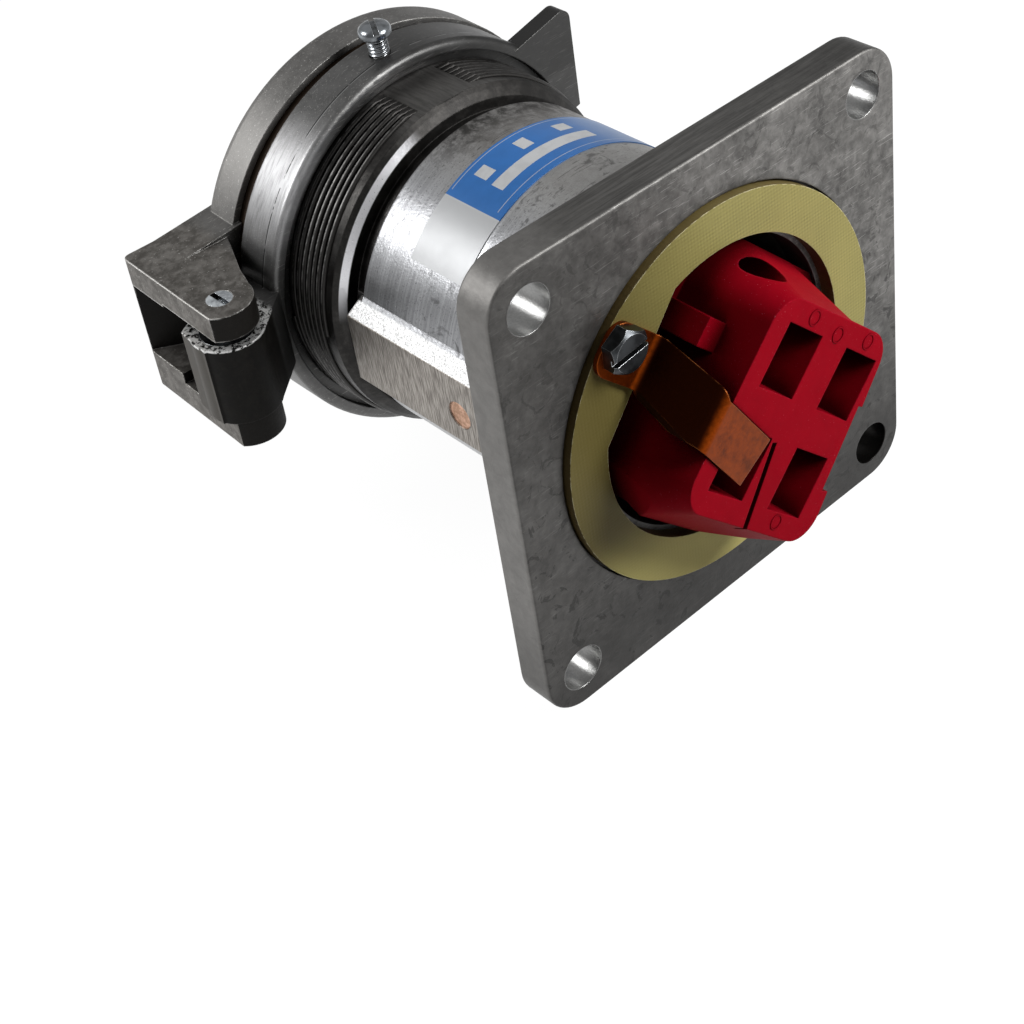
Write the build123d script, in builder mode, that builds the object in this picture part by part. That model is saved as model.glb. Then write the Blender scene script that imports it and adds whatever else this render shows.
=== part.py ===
"""Pin and sleeve receptacle: cast housing with a square flange, red insulators and a sprung door on a threaded ring.

The origin is the centre of the flange's mounting face. +Y points to the wiring side, the socket and its door
lie towards -Y, +Z is up and the door's hinge stands on the +X side.
"""
import os
from math import cos, radians, sin

from build123d import *

# Flange
hole_spacing = 82.6
hole_margin = 8.7
mount_hole_radius = 4.65
flange_thickness = 7.9
flange_corner_radius = 8.8
flange_edge_radius = 0.6

# Body, neck and collar of the housing, each counted outwards from the bore
body_wall = 5.1
body_end = -62.0
neck_depth = 2.3
neck_length = 4.5
collar_chamfer_length = 1.1
collar_chamfer_rise = 1.6
thread_start = -68.4
thread_root_rise = 2.5
thread_flat_depth = 0.2
collar_end = -87.2
shoulder_width = 1.1

# Pad on the side of the body
pad_rise = 1.3
pad_root_depth = 2.0
pad_top = 7.0
pad_bottom = -8.0
pad_slope_width = 3.15
pad_slope_height = 4.0
pad_end = -64.4
pad_end_slant = 2.0

# Insulators
insulator_radius = 28.6
insulator_clearance = 0.6
insulator_split = -24.0
insulator_front_end = -38.0
shoulder_clearance = 0.1
base_top = -2.2
base_flat = 25.5
face_height = 17.8
face_round = 6.0
foot_round = 12.0
skirt_half_width = 27.0
skirt_height = 3.0
skirt_cut = 1.5
upper_bulge_end = -2.6
upper_wall = 20.9
bay_reach = 18.1
bay_turn = 5.7
bay_width = 17.2
bay_offset = 1.3
cavity_pitch = 20.0
cavity_width = 11.2
cavity_length = 12.3
pin_hole_radius = 3.8
rib_width = 5.5
rib_offset = -8.25
rib_reach = 25.9
rib_root = 18.0
rib_top = 9.6
side_hole_radius = 3.2
side_hole_depth = 11.0
side_hole_place = 55.3
side_hole_reach = 27.2
side_hole_height = 8.3
side_hole_direction = 86.0
side_hole_rise = 51.0
slot_width = 1.3
slot_depth = 2.4
slot_turn = 12.6
clamp_screw_radius = 2.0
clamp_screw_length = 24.0
clamp_head_radius = 4.0
clamp_head_height = 2.6
clamp_head_sink = 3.2

# Corners of the rear insulator's block at its face and at its foot, in its turned plane
face_outline = ((20.6, -20.5), (-16.6, -20.9), (-22.4, 20.9), (20.6, 20.7))
foot_outline = ((21.1, -26.1), (-20.6, -26.1), (-28.3, 29.2), (21.1, 29.2))

# Insulating washer
washer_ring_width = 9.0
washer_opening_clearance = 1.0
washer_thickness = 3.2
washer_sink = 1.8
washer_clearance = 0.5
washer_flat = 26.3
washer_flat_tilt = 5.2

# Ground strap and its screw
strap_thickness = 1.0
strap_clearance = 0.1
strap_seat_depth = 0.6
strap_turn = -13.0
strap_end_length = 16.8
strap_end_width = 9.7
strap_end_inset = 6.75
strap_end_offset = 8.8
strap_bend_radius = 2.0
tab_width = 10.4
tab_inner = 26.75
tab_overhang = 0.3
tab_offset = 0.9
tab_corner_radius = 3.6
screw_from_washer_rim = 3.4
ground_screw_radius = 2.1
ground_head_width = 7.94
ground_head_height = 3.2
ground_screw_length = 8.6
driver_slot_width = 1.1

# Locating pin in the pad
locating_pin_radius = 3.0
locating_pin_position = -33.0
locating_pin_height = -1.5
locating_pin_recess = 0.3
locating_pin_grip = 2.0

# Nameplate foil
foil_thickness = 0.18
foil_near = -36.7
foil_width = 15.0
foil_start_angle = 38.0
foil_end_angle = 150.0

# Ring on the collar
ring_wall = 5.2
ring_length = 11.0
ring_lip_thickness = 2.5
ring_lip_width = 2.3
ring_edge_radius = 1.4
ring_mouth_wall = 2.5
ring_mouth_depth = 2.0
thread_clearance = 0.15
seal_thickness = 1.3
ring_screw_angle = 86.7
ring_screw_setback = 5.7
ring_screw_radius = 2.1
ring_screw_stand = 4.2
ring_screw_length = 8.3
ring_head_radius = 3.35
ring_head_height = 2.5
screw_fit = 0.05

# Pointed lug on the ring
lug_top_depth = 7.2
lug_rise = 5.0
lug_length = 20.1
lug_height = 23.8
lug_tip_radius = 2.4
lug_thickness = 4.0

# Hinge
hinge_stand = 11.8
hinge_setback = 2.0
barrel_bottom = -9.2
barrel_height = 17.6
barrel_radius = 7.4
pin_radius = 2.6
pin_fit = 0.05
spring_pocket_radius = 5.5
barrel_floor = 3.0
bush_length = 3.0
spring_wire_radius = 0.6
spring_clearance = 0.25
spring_coil_count = 6
points_per_coil = 14

# Plan of the barrel's web and of the fork, each counted from the hinge pin
barrel_outline = (
    (-14.1, -2.3),
    (-5.2, 5.2),
    (0.0, 5.2),
    (7.3, 2.6),
    (6.5, -6.1),
    (5.4, -6.9),
    (-6.0, -12.7),
    (-14.1, -12.7),
)
fork_outline = (
    (-18.0, -16.8),
    (-12.7, -16.6),
    (-11.9, -14.3),
    (-8.1, -5.0),
    (-6.4, 1.0),
    (7.0, 1.0),
    (7.0, -27.2),
    (-18.0, -27.2),
)
window_outline = ((-9.8, -17.6), (-9.8, -14.0), (12.0, -14.0), (12.0, -30.8))

# Sprung door
door_lean = -2.1
door_oversize = 0.25
door_gap = 4.6
door_thickness = 9.6
door_edge_radius = 2.4
fork_height = 31.0
fork_end_radius = 6.6
fork_flat = 5.1
fork_corner_radius = 1.5
fork_gap_over_barrel = 1.6
fork_gap_under_barrel = 0.4
fork_gap_depth = 14.6
web_setback = 1.0
web_start = -2.2
web_root = -18.0
web_rise = 1.5
window_top = 9.4
window_bottom = -7.1

# Gasket with its plate and screw
gasket_margin = 1.75
gasket_pocket_clearance = 0.3
gasket_pocket_depth = 2.5
gasket_gap = 0.3
plate_radius = 26.0
plate_thickness = 1.2
gasket_screw_radius = 2.1
gasket_screw_length = 8.0
gasket_head_radius = 4.0
gasket_head_height = 1.6

# Sizes that follow from the ones above
flange_width = hole_spacing + 2 * hole_margin
insulator_bore_radius = insulator_radius + insulator_clearance
socket_radius = insulator_radius - shoulder_width
shoulder = insulator_front_end - shoulder_clearance
body_radius = insulator_bore_radius + body_wall
neck_radius = body_radius - neck_depth
neck_end = body_end - neck_length
collar_chamfer_radius = body_radius + collar_chamfer_rise
thread_root_radius = body_radius + thread_root_rise
thread_flat_height = thread_root_radius - thread_flat_depth
pad_face = body_radius + pad_rise
washer_inner_radius = insulator_bore_radius + washer_opening_clearance
washer_radius = washer_inner_radius + washer_ring_width
washer_top = washer_thickness - washer_sink
strap_seat = face_height - strap_seat_depth
strap_underside = strap_seat + strap_clearance
strap_top = strap_underside + strap_thickness
strap_end = Location((strap_end_inset, strap_end_offset, 0), (0, 0, strap_turn))
tab_top = washer_top + strap_thickness
tab_outer = washer_radius + tab_overhang
screw_reach = washer_radius - screw_from_washer_rim
seal_front = collar_end - seal_thickness
ring_radius = thread_root_radius + ring_wall
ring_mouth_radius = ring_radius - ring_mouth_wall
ring_bore_radius = thread_root_radius + thread_clearance
ring_lip_radius = thread_root_radius - ring_lip_width
ring_front = seal_front - ring_lip_thickness
ring_rear = ring_front + ring_length
ring_screw_position = ring_rear - ring_screw_setback
lug_top = ring_radius - lug_top_depth
lug_side = -ring_radius - 0.1
hinge_x = ring_radius + hinge_stand
hinge_y = ring_rear + hinge_setback
barrel_top = barrel_bottom + barrel_height
fork_gap_top = barrel_top + fork_gap_over_barrel
fork_gap_bottom = barrel_bottom - fork_gap_under_barrel
door_radius = ring_radius + door_oversize
door_seat = hinge_y - ring_front + door_gap
gasket_radius = door_radius - gasket_margin
gasket_face = ring_front - gasket_gap
plate_face = gasket_face + plate_thickness
fork_bottom = -fork_height / 2
tool = 200.0


def turned_plane(height):
    """Plane across the main axis, turned with the insulator: its x and y run to the insulator's sides."""
    return Plane(origin=(0, height, 0), x_dir=(1, 0, 1), z_dir=(0, 1, 0))


def screw_plane(height):
    """Plane across the ground screw, with its x away from the main axis."""
    return turned_plane(height).shift_origin(turned_plane(height).from_local_coords((screw_reach, 0, 0)))


def side_hole_plane():
    """Plane across the slanted hole in the insulator's side."""
    place = radians(side_hole_place)
    direction = radians(side_hole_direction)
    rise = radians(side_hole_rise)
    face = turned_plane(side_hole_height)
    mouth = face.from_local_coords((side_hole_reach * cos(place), -side_hole_reach * sin(place), 0))
    level = face.x_dir * cos(direction) - face.y_dir * sin(direction)
    return Plane(origin=mouth, z_dir=level * cos(rise) + face.z_dir * sin(rise))


def door_plane(distance):
    """Plane across the door, so far in front of the hinge pin, leaned as the door leans when it is shut."""
    lean = radians(door_lean)
    along = (cos(lean), sin(lean), 0)
    ahead = (sin(lean), -cos(lean), 0)
    return Plane(origin=(hinge_x, hinge_y, 0), x_dir=along, z_dir=ahead).offset(distance)


def fork_plane(height):
    """Plane across the hinge pin, leaned with the door, with its origin on the pin's axis."""
    lean = radians(door_lean)
    return Plane(origin=(hinge_x, hinge_y, height), x_dir=(cos(lean), sin(lean), 0), z_dir=(0, 0, 1))


def hinge_plane(height):
    """Plane across the hinge pin, square to the ring, with its origin on the pin's axis."""
    return Plane(origin=(hinge_x, hinge_y, height))


def radial_plane(distance):
    """Plane across the ring screw, so far from the main axis."""
    angle = radians(ring_screw_angle)
    outward = (cos(angle), 0, sin(angle))
    return Plane(origin=(0, ring_screw_position, 0), x_dir=(0, 1, 0), z_dir=outward).offset(distance)


os.makedirs("parts", exist_ok=True)

# Housing: flange, body, neck and collar in one casting
with BuildPart() as housing:
    with BuildSketch(Plane.XZ):
        RectangleRounded(flange_width, flange_width, flange_corner_radius)
    extrude(amount=flange_thickness)
    flange_faces = housing.faces().filter_by(Axis.Y)
    fillet(flange_faces.edges(), flange_edge_radius)
    with BuildSketch(Plane.XY):
        with BuildLine():
            Polyline(
                (0, -flange_thickness / 2),
                (body_radius, -flange_thickness / 2),
                (body_radius, body_end),
                (neck_radius, body_end),
                (neck_radius, neck_end),
                (body_radius, neck_end),
                (collar_chamfer_radius, neck_end - collar_chamfer_length),
                (thread_root_radius, thread_start),
                (thread_root_radius, collar_end),
                (0, collar_end),
                close=True,
            )
        make_face()
    revolve(axis=Axis.Y)
    # Side pad, which overhangs the neck a little
    with BuildSketch(Plane.XZ):
        with BuildLine():
            Polyline(
                (neck_radius - pad_root_depth, pad_top + pad_slope_height),
                (pad_face - pad_slope_width, pad_top + pad_slope_height),
                (pad_face, pad_top),
                (pad_face, pad_bottom),
                (pad_face - pad_slope_width, pad_bottom - pad_slope_height),
                (neck_radius - pad_root_depth, pad_bottom - pad_slope_height),
                close=True,
            )
        make_face()
    extrude(amount=-pad_end)
    with BuildSketch(Plane.XY):
        with BuildLine():
            Polyline(
                (pad_face, pad_end),
                (neck_radius, pad_end + pad_end_slant),
                (neck_radius, pad_end - 1),
                (pad_face + 1, pad_end - 1),
                close=True,
            )
        make_face()
    extrude(amount=tool, both=True, mode=Mode.SUBTRACT)
    # Flat across the top of the thread
    with BuildSketch(Plane.XY.offset(thread_flat_height)):
        with Locations((0, (neck_end + collar_end) / 2)):
            Rectangle(body_radius, neck_end - collar_end)
    extrude(amount=body_radius, mode=Mode.SUBTRACT)
    # Bore for the insulators, shoulder and socket
    with BuildSketch(Plane.XY):
        with BuildLine():
            Polyline(
                (0, 1),
                (washer_radius + washer_clearance, 1),
                (washer_radius + washer_clearance, -washer_sink),
                (insulator_bore_radius, -washer_sink),
                (insulator_bore_radius, shoulder),
                (socket_radius, shoulder),
                (socket_radius, collar_end - 1),
                (0, collar_end - 1),
                close=True,
            )
        make_face()
    revolve(axis=Axis.Y, mode=Mode.SUBTRACT)
    # Mounting holes
    with BuildSketch(Plane.XZ):
        with GridLocations(hole_spacing, hole_spacing, 2, 2):
            Circle(mount_hole_radius)
    extrude(amount=flange_thickness, mode=Mode.SUBTRACT)
    # Tapped hole of the ground screw
    with BuildSketch(screw_plane(0)):
        Circle(ground_screw_radius + screw_fit)
    extrude(amount=-flange_thickness, mode=Mode.SUBTRACT)
    # Hole of the locating pin
    with BuildSketch(Plane.YZ.offset(pad_face)):
        with Locations((locating_pin_position, locating_pin_height)):
            Circle(locating_pin_radius)
    extrude(amount=insulator_radius - pad_face - locating_pin_grip, mode=Mode.SUBTRACT)
housing.part.label = "housing"
export_step(housing.part, "parts/housing.step")

# Insulating washer: the flat keeps the insulator from coming out
with BuildPart() as insulating_washer:
    with BuildSketch(turned_plane(-washer_sink)):
        Circle(washer_radius)
    extrude(amount=washer_thickness)
    with BuildSketch(turned_plane(-washer_sink)):
        Circle(washer_inner_radius)
        with Locations((washer_flat, 0)):
            Rectangle(
                washer_radius,
                tool,
                rotation=washer_flat_tilt,
                align=(Align.MIN, Align.CENTER),
                mode=Mode.SUBTRACT,
            )
    extrude(amount=washer_thickness, mode=Mode.SUBTRACT)
    with BuildSketch(screw_plane(-washer_sink)):
        Circle(ground_screw_radius + strap_clearance)
    extrude(amount=washer_thickness, mode=Mode.SUBTRACT)
insulating_washer.part.label = "insulating_washer"
export_step(insulating_washer.part, "parts/insulating_washer.step")

# Rear insulator: a drafted block with four contact cavities on a round base
with BuildPart() as insulator_rear:
    for height, corners, corner_radius in (
        (base_top, foot_outline, foot_round),
        (face_height, face_outline, face_round),
    ):
        with BuildSketch(turned_plane(height)) as outline:
            with BuildLine():
                Polyline(*corners, close=True)
            make_face()
            fillet(outline.vertices(), corner_radius)
    loft(ruled=True)
    with BuildSketch(turned_plane(insulator_split)):
        Circle(insulator_radius)
    extrude(amount=base_top - insulator_split)
    with BuildSketch(turned_plane(insulator_split)):
        Circle(insulator_radius)
    extrude(amount=face_height - insulator_split, mode=Mode.INTERSECT)
    # Flats of the base, with the skirt of the block over one of them
    with BuildSketch(Plane(origin=(0, 0, 0), x_dir=(1, 0, -1), z_dir=(1, 0, 1))):
        with BuildLine():
            Polyline(
                (-base_flat, insulator_split),
                (-base_flat, 0),
                (-insulator_bore_radius, 0),
                (-insulator_bore_radius, face_height),
                (insulator_bore_radius, face_height),
                (insulator_bore_radius, skirt_height),
                (skirt_half_width, skirt_height),
                (base_flat, skirt_cut),
                (base_flat, insulator_split),
                close=True,
            )
        make_face()
    extrude(amount=insulator_bore_radius, both=True, mode=Mode.INTERSECT)
    # Upper side: bulged beside the strap, upright beyond
    with BuildSketch(turned_plane(base_top)):
        with Locations((upper_bulge_end, -upper_wall)):
            Rectangle(insulator_radius, insulator_radius, align=(Align.MAX, Align.MAX))
    extrude(amount=face_height - base_top, mode=Mode.SUBTRACT)
    # Shallow bay in the far side
    with BuildSketch(turned_plane(skirt_height)):
        with Locations((-bay_reach, bay_offset)):
            Rectangle(insulator_radius, bay_width, rotation=bay_turn, align=(Align.MAX, Align.CENTER))
    extrude(amount=face_height, mode=Mode.SUBTRACT)
    # Rib beside the strap
    with BuildSketch(turned_plane(base_top)):
        with Locations((rib_reach, rib_offset)):
            Rectangle(rib_reach - rib_root, rib_width, align=(Align.MAX, Align.CENTER))
    extrude(amount=rib_top - base_top)
    # Four cavities for the contacts
    with BuildSketch(turned_plane(face_height)):
        with GridLocations(cavity_pitch, cavity_pitch, 2, 2):
            Rectangle(cavity_width, cavity_length)
    extrude(amount=insulator_split - face_height, mode=Mode.SUBTRACT)
    # Seat of the strap, open to the side, and the slot that ends at it
    with BuildSketch(turned_plane(strap_seat)):
        with Locations(strap_end):
            with Locations((-strap_clearance, 0)):
                Rectangle(tool / 4, strap_end_width + strap_clearance * 4, align=(Align.MIN, Align.CENTER))
    extrude(amount=tool, mode=Mode.SUBTRACT)
    with BuildSketch(turned_plane(face_height)):
        with Locations(((cavity_pitch - cavity_width) / 2 - slot_width, strap_end_offset / 2)):
            Rectangle(slot_width, tool / 4, rotation=slot_turn, align=(Align.CENTER, Align.MIN))
    extrude(amount=-slot_depth, mode=Mode.SUBTRACT)
    # Slanted hole in the side, through which the screw of one contact is reached
    with BuildSketch(side_hole_plane().offset(-side_hole_depth)):
        Circle(side_hole_radius)
    extrude(amount=2 * side_hole_depth, mode=Mode.SUBTRACT)
    # Thread for the screw that holds the two insulators together
    with BuildSketch(turned_plane(insulator_split)):
        Circle(clamp_screw_radius + screw_fit)
    extrude(amount=clamp_screw_length / 2, mode=Mode.SUBTRACT)
insulator_rear.part.label = "insulator_rear"
export_step(insulator_rear.part, "parts/insulator_rear.step")

# Front insulator: the floor of the socket, with a round hole for each contact pin
with BuildPart() as insulator_front:
    with BuildSketch(turned_plane(insulator_split)):
        Circle(insulator_radius)
    extrude(amount=insulator_front_end - insulator_split)
    with BuildSketch(turned_plane(insulator_split)):
        with GridLocations(cavity_pitch, cavity_pitch, 2, 2):
            Circle(pin_hole_radius)
        Circle(clamp_screw_radius + screw_fit)
    extrude(amount=insulator_front_end - insulator_split, mode=Mode.SUBTRACT)
    with BuildSketch(turned_plane(insulator_front_end)):
        Circle(clamp_head_radius + strap_clearance)
    extrude(amount=clamp_head_sink, mode=Mode.SUBTRACT)
    # Dimple that the locating pin enters
    with BuildSketch(Plane.YZ.offset(insulator_radius)):
        with Locations((locating_pin_position, locating_pin_height)):
            Circle(locating_pin_radius + strap_clearance)
    extrude(amount=-locating_pin_grip, mode=Mode.SUBTRACT)
insulator_front.part.label = "insulator_front"
export_step(insulator_front.part, "parts/insulator_front.step")

# Screw through the front insulator into the rear one
with BuildPart() as insulator_screw:
    with BuildSketch(Plane.XZ.offset(-insulator_front_end - clamp_head_sink)):
        Circle(clamp_head_radius)
    extrude(amount=clamp_head_height)
    with BuildSketch(Plane.XZ.offset(-insulator_front_end - clamp_head_sink)):
        Circle(clamp_screw_radius)
    extrude(amount=clamp_head_sink + insulator_front_end - insulator_split - clamp_screw_length / 2 + 1)
    with BuildSketch(Plane.XZ.offset(-insulator_front_end - clamp_head_sink + clamp_head_height)):
        Rectangle(clamp_head_radius * 3, driver_slot_width)
    extrude(amount=-clamp_head_height / 2, mode=Mode.SUBTRACT)
insulator_screw.part.label = "insulator_screw"
export_step(insulator_screw.part, "parts/insulator_screw.step")

# Ground strap: a strip bent twice, with a tab on the washer and an end that lies over the ground cavity
with BuildPart() as ground_strap:
    bend_corners = [(strap_end * Pos(strap_end_length, side * strap_end_width / 2)).position for side in (1, -1)]
    with BuildSketch(turned_plane(0)) as tab:
        with Locations((tab_inner, tab_offset)):
            Rectangle(tab_outer - tab_inner, tab_width, align=(Align.MIN, Align.CENTER))
        fillet(tab.vertices().group_by(Axis.X)[-1], tab_corner_radius)
        with Locations(strap_end):
            Rectangle(strap_end_length, strap_end_width, align=(Align.MIN, Align.CENTER))
        with BuildLine():
            Polyline(
                (tab_inner, tab_offset - tab_width / 2),
                (tab_inner, tab_offset + tab_width / 2),
                *bend_corners,
                close=True,
            )
        make_face()
    extrude(amount=strap_top)
    with BuildSketch(Plane(origin=(0, 0, 0), x_dir=(1, 0, 1), z_dir=(-1, 0, 1))):
        with BuildLine():
            FilletPolyline(
                (0, strap_top - strap_thickness / 2),
                ((bend_corners[0].X + bend_corners[1].X) / 2, strap_top - strap_thickness / 2),
                (tab_inner, tab_top - strap_thickness / 2),
                (tab_outer, tab_top - strap_thickness / 2),
                radius=strap_bend_radius,
            )
        trace(line_width=strap_thickness)
    extrude(amount=insulator_radius, both=True, mode=Mode.INTERSECT)
    with BuildSketch(screw_plane(washer_top)):
        Circle(ground_screw_radius + strap_clearance)
    extrude(amount=strap_thickness, mode=Mode.SUBTRACT)
ground_strap.part.label = "ground_strap"
export_step(ground_strap.part, "parts/ground_strap.step")

# Ground screw: slotted hexagon head
with BuildPart() as ground_screw:
    with BuildSketch(screw_plane(tab_top)):
        RegularPolygon(ground_head_width / 2, 6, major_radius=False)
    extrude(amount=ground_head_height)
    with BuildSketch(screw_plane(tab_top)):
        Circle(ground_screw_radius)
    extrude(amount=-ground_screw_length)
    with BuildSketch(screw_plane(tab_top + ground_head_height)):
        Rectangle(ground_head_width * 2, driver_slot_width)
    extrude(amount=-ground_head_height / 3, mode=Mode.SUBTRACT)
ground_screw.part.label = "ground_screw"
export_step(ground_screw.part, "parts/ground_screw.step")

# Locating pin, pressed into the pad, with its end in the front insulator
with BuildPart() as locating_pin:
    with BuildSketch(Plane.YZ.offset(pad_face - locating_pin_recess)):
        with Locations((locating_pin_position, locating_pin_height)):
            Circle(locating_pin_radius)
    extrude(amount=insulator_radius - pad_face + locating_pin_recess - locating_pin_grip + strap_clearance)
locating_pin.part.label = "locating_pin"
export_step(locating_pin.part, "parts/locating_pin.step")

# Nameplate foil, bent round the body
with BuildPart() as nameplate_foil:
    end = radians(foil_end_angle)
    with BuildSketch(Plane(origin=(0, 0, 0), x_dir=(cos(end), 0, sin(end)), z_dir=(-sin(end), 0, cos(end)))):
        with Locations((body_radius, foil_near)):
            Rectangle(foil_thickness, foil_width, align=(Align.MIN, Align.MAX))
    revolve(axis=Axis.Y, revolution_arc=foil_end_angle - foil_start_angle)
nameplate_foil.part.label = "nameplate_foil"
export_step(nameplate_foil.part, "parts/nameplate_foil.step")

# Ring on the collar, with the hinge barrel and the pointed lug
with BuildPart() as door_ring:
    with BuildSketch(Plane.XY):
        with BuildLine():
            Polyline(
                (ring_lip_radius, ring_front),
                (ring_radius, ring_front),
                (ring_radius, ring_rear),
                (ring_mouth_radius, ring_rear),
                (ring_mouth_radius, ring_rear - ring_mouth_depth),
                (ring_bore_radius, ring_rear - ring_mouth_depth),
                (ring_bore_radius, seal_front),
                (ring_lip_radius, seal_front),
                close=True,
            )
        make_face()
    revolve(axis=Axis.Y)
    outer_rim = door_ring.edges().filter_by(GeomType.CIRCLE).group_by(Axis.Y)[-1].sort_by(SortBy.RADIUS)[-1]
    fillet(outer_rim, ring_edge_radius)
    with BuildSketch(Plane.XZ.offset(-ring_rear)) as lug:
        with BuildLine():
            Polyline(
                (0, 0),
                (lug_side + lug_length, lug_top - lug_rise),
                (lug_side, lug_top),
                (lug_side, lug_top - lug_height),
                close=True,
            )
        make_face()
        fillet(lug.vertices().group_by(Axis.Y)[-1].sort_by(Axis.X)[0], lug_tip_radius)
        Circle((ring_radius + ring_mouth_radius) / 2, mode=Mode.SUBTRACT)
    extrude(amount=lug_thickness)
    with BuildSketch(hinge_plane(barrel_bottom)):
        Circle(barrel_radius)
        with BuildLine():
            Polyline(*barrel_outline, close=True)
        make_face()
    extrude(amount=barrel_height)
    # Pocket of the spring and the bore below it
    with BuildSketch(hinge_plane(barrel_bottom + barrel_floor)):
        Circle(spring_pocket_radius)
    extrude(amount=barrel_height, mode=Mode.SUBTRACT)
    with BuildSketch(hinge_plane(barrel_bottom)):
        Circle(pin_radius + pin_fit)
    extrude(amount=barrel_floor, mode=Mode.SUBTRACT)
    with BuildSketch(radial_plane(thread_root_radius)):
        Circle(ring_screw_radius + screw_fit)
    extrude(amount=ring_radius, mode=Mode.SUBTRACT)
door_ring.part.label = "door_ring"
export_step(door_ring.part, "parts/door_ring.step")

# Seal between the collar's end and the ring's lip
with BuildPart() as ring_seal:
    with BuildSketch(Plane.XZ.offset(-collar_end)):
        Circle(thread_root_radius)
        Circle(ring_lip_radius, mode=Mode.SUBTRACT)
    extrude(amount=seal_thickness)
ring_seal.part.label = "ring_seal"
export_step(ring_seal.part, "parts/ring_seal.step")

# Screw that keeps the ring from turning, standing partly out
with BuildPart() as ring_screw:
    with BuildSketch(radial_plane(ring_radius + ring_screw_stand)):
        Circle(ring_head_radius)
    extrude(amount=ring_head_height)
    head_rim = ring_screw.faces().sort_by(Axis.Z)[-1].edges()
    chamfer(head_rim, ring_head_height / 3)
    with BuildSketch(radial_plane(ring_radius + ring_screw_stand)):
        Circle(ring_screw_radius)
    extrude(amount=-ring_screw_length)
    with BuildSketch(radial_plane(ring_radius + ring_screw_stand + ring_head_height)):
        Rectangle(driver_slot_width, ring_head_radius * 3)
    extrude(amount=-ring_head_height / 2, mode=Mode.SUBTRACT)
ring_screw.part.label = "ring_screw"
export_step(ring_screw.part, "parts/ring_screw.step")

# Sprung door: cap and forked arm, leaned a little about the pin as they rest on the gasket
with BuildPart() as spring_door:
    with BuildSketch(door_plane(door_seat)):
        with Locations((-hinge_x, 0)):
            Circle(door_radius)
    extrude(amount=door_thickness)
    fillet(spring_door.faces().sort_by(Axis.Y)[0].edges(), door_edge_radius)
    with BuildSketch(fork_plane(fork_bottom)) as fork:
        with BuildLine():
            Polyline(*fork_outline, close=True)
        make_face()
        Circle(fork_end_radius)
        with Locations((fork_flat, 0)):
            Rectangle(tool, tool, align=(Align.MIN, Align.CENTER), mode=Mode.SUBTRACT)
        fillet(fork.vertices().group_by(Axis.Y)[0].sort_by(Axis.X)[-1], fork_corner_radius)
    extrude(amount=fork_height)
    # Web that rises from the fork to the rim of the cap
    with BuildSketch(door_plane(door_seat - web_setback)):
        with BuildLine():
            Polyline(
                (web_start, fork_height / 2),
                (web_root, fork_height / 2 + web_rise),
                (web_root, -fork_height / 2 - web_rise),
                (web_start, -fork_height / 2),
                close=True,
            )
        make_face()
    extrude(amount=web_setback + door_thickness)
    # Gap for the barrel and the window in front of it
    with BuildSketch(fork_plane(fork_gap_bottom)):
        with Locations((0, -fork_gap_depth)):
            Rectangle(fork_height, fork_height, align=(Align.CENTER, Align.MIN))
    extrude(amount=fork_gap_top - fork_gap_bottom, mode=Mode.SUBTRACT)
    with BuildSketch(fork_plane(window_bottom)):
        with BuildLine():
            Polyline(*window_outline, close=True)
        make_face()
    extrude(amount=window_top - window_bottom, mode=Mode.SUBTRACT)
    with BuildSketch(fork_plane(fork_bottom)):
        Circle(pin_radius)
    extrude(amount=fork_height, mode=Mode.SUBTRACT)
    # Pocket of the gasket and the thread for its screw
    with BuildSketch(door_plane(door_seat + gasket_pocket_depth)):
        with Locations((-hinge_x, 0)):
            Circle(gasket_radius + gasket_pocket_clearance)
    extrude(amount=-2 * gasket_pocket_depth, mode=Mode.SUBTRACT)
    with BuildSketch(Plane.XZ.offset(-plate_face)):
        Circle(gasket_screw_radius + screw_fit)
    extrude(amount=gasket_screw_length + screw_fit, mode=Mode.SUBTRACT)
spring_door.part.label = "spring_door"
export_step(spring_door.part, "parts/spring_door.step")

# Gasket: seated in the leaned cap, with its sealing face parallel to the ring
with BuildPart() as door_gasket:
    with BuildSketch(door_plane(door_seat + gasket_pocket_depth)):
        with Locations((-hinge_x, 0)):
            Circle(gasket_radius)
    extrude(amount=-door_seat)
    split(bisect_by=Plane.XZ.offset(-gasket_face), keep=Keep.TOP)
    with BuildSketch(Plane.XZ.offset(-gasket_face)):
        Circle(gasket_screw_radius + screw_fit)
    extrude(amount=gasket_screw_length, mode=Mode.SUBTRACT)
door_gasket.part.label = "door_gasket"
export_step(door_gasket.part, "parts/door_gasket.step")

# Plate that holds the gasket to the cap
with BuildPart() as gasket_plate:
    with BuildSketch(Plane.XZ.offset(-plate_face)):
        Circle(plate_radius)
        Circle(gasket_screw_radius + screw_fit, mode=Mode.SUBTRACT)
    extrude(amount=plate_thickness)
gasket_plate.part.label = "gasket_plate"
export_step(gasket_plate.part, "parts/gasket_plate.step")

# Screw through the plate and the gasket into the cap
with BuildPart() as gasket_screw:
    with BuildSketch(Plane.XZ.offset(-plate_face)):
        Circle(gasket_head_radius)
    extrude(amount=-gasket_head_height)
    with BuildSketch(Plane.XZ.offset(-plate_face)):
        Circle(gasket_screw_radius)
    extrude(amount=gasket_screw_length)
    with BuildSketch(Plane.XZ.offset(-plate_face - gasket_head_height)):
        Rectangle(gasket_head_radius * 3, driver_slot_width)
    extrude(amount=gasket_head_height / 2, mode=Mode.SUBTRACT)
gasket_screw.part.label = "gasket_screw"
export_step(gasket_screw.part, "parts/gasket_screw.step")

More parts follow.
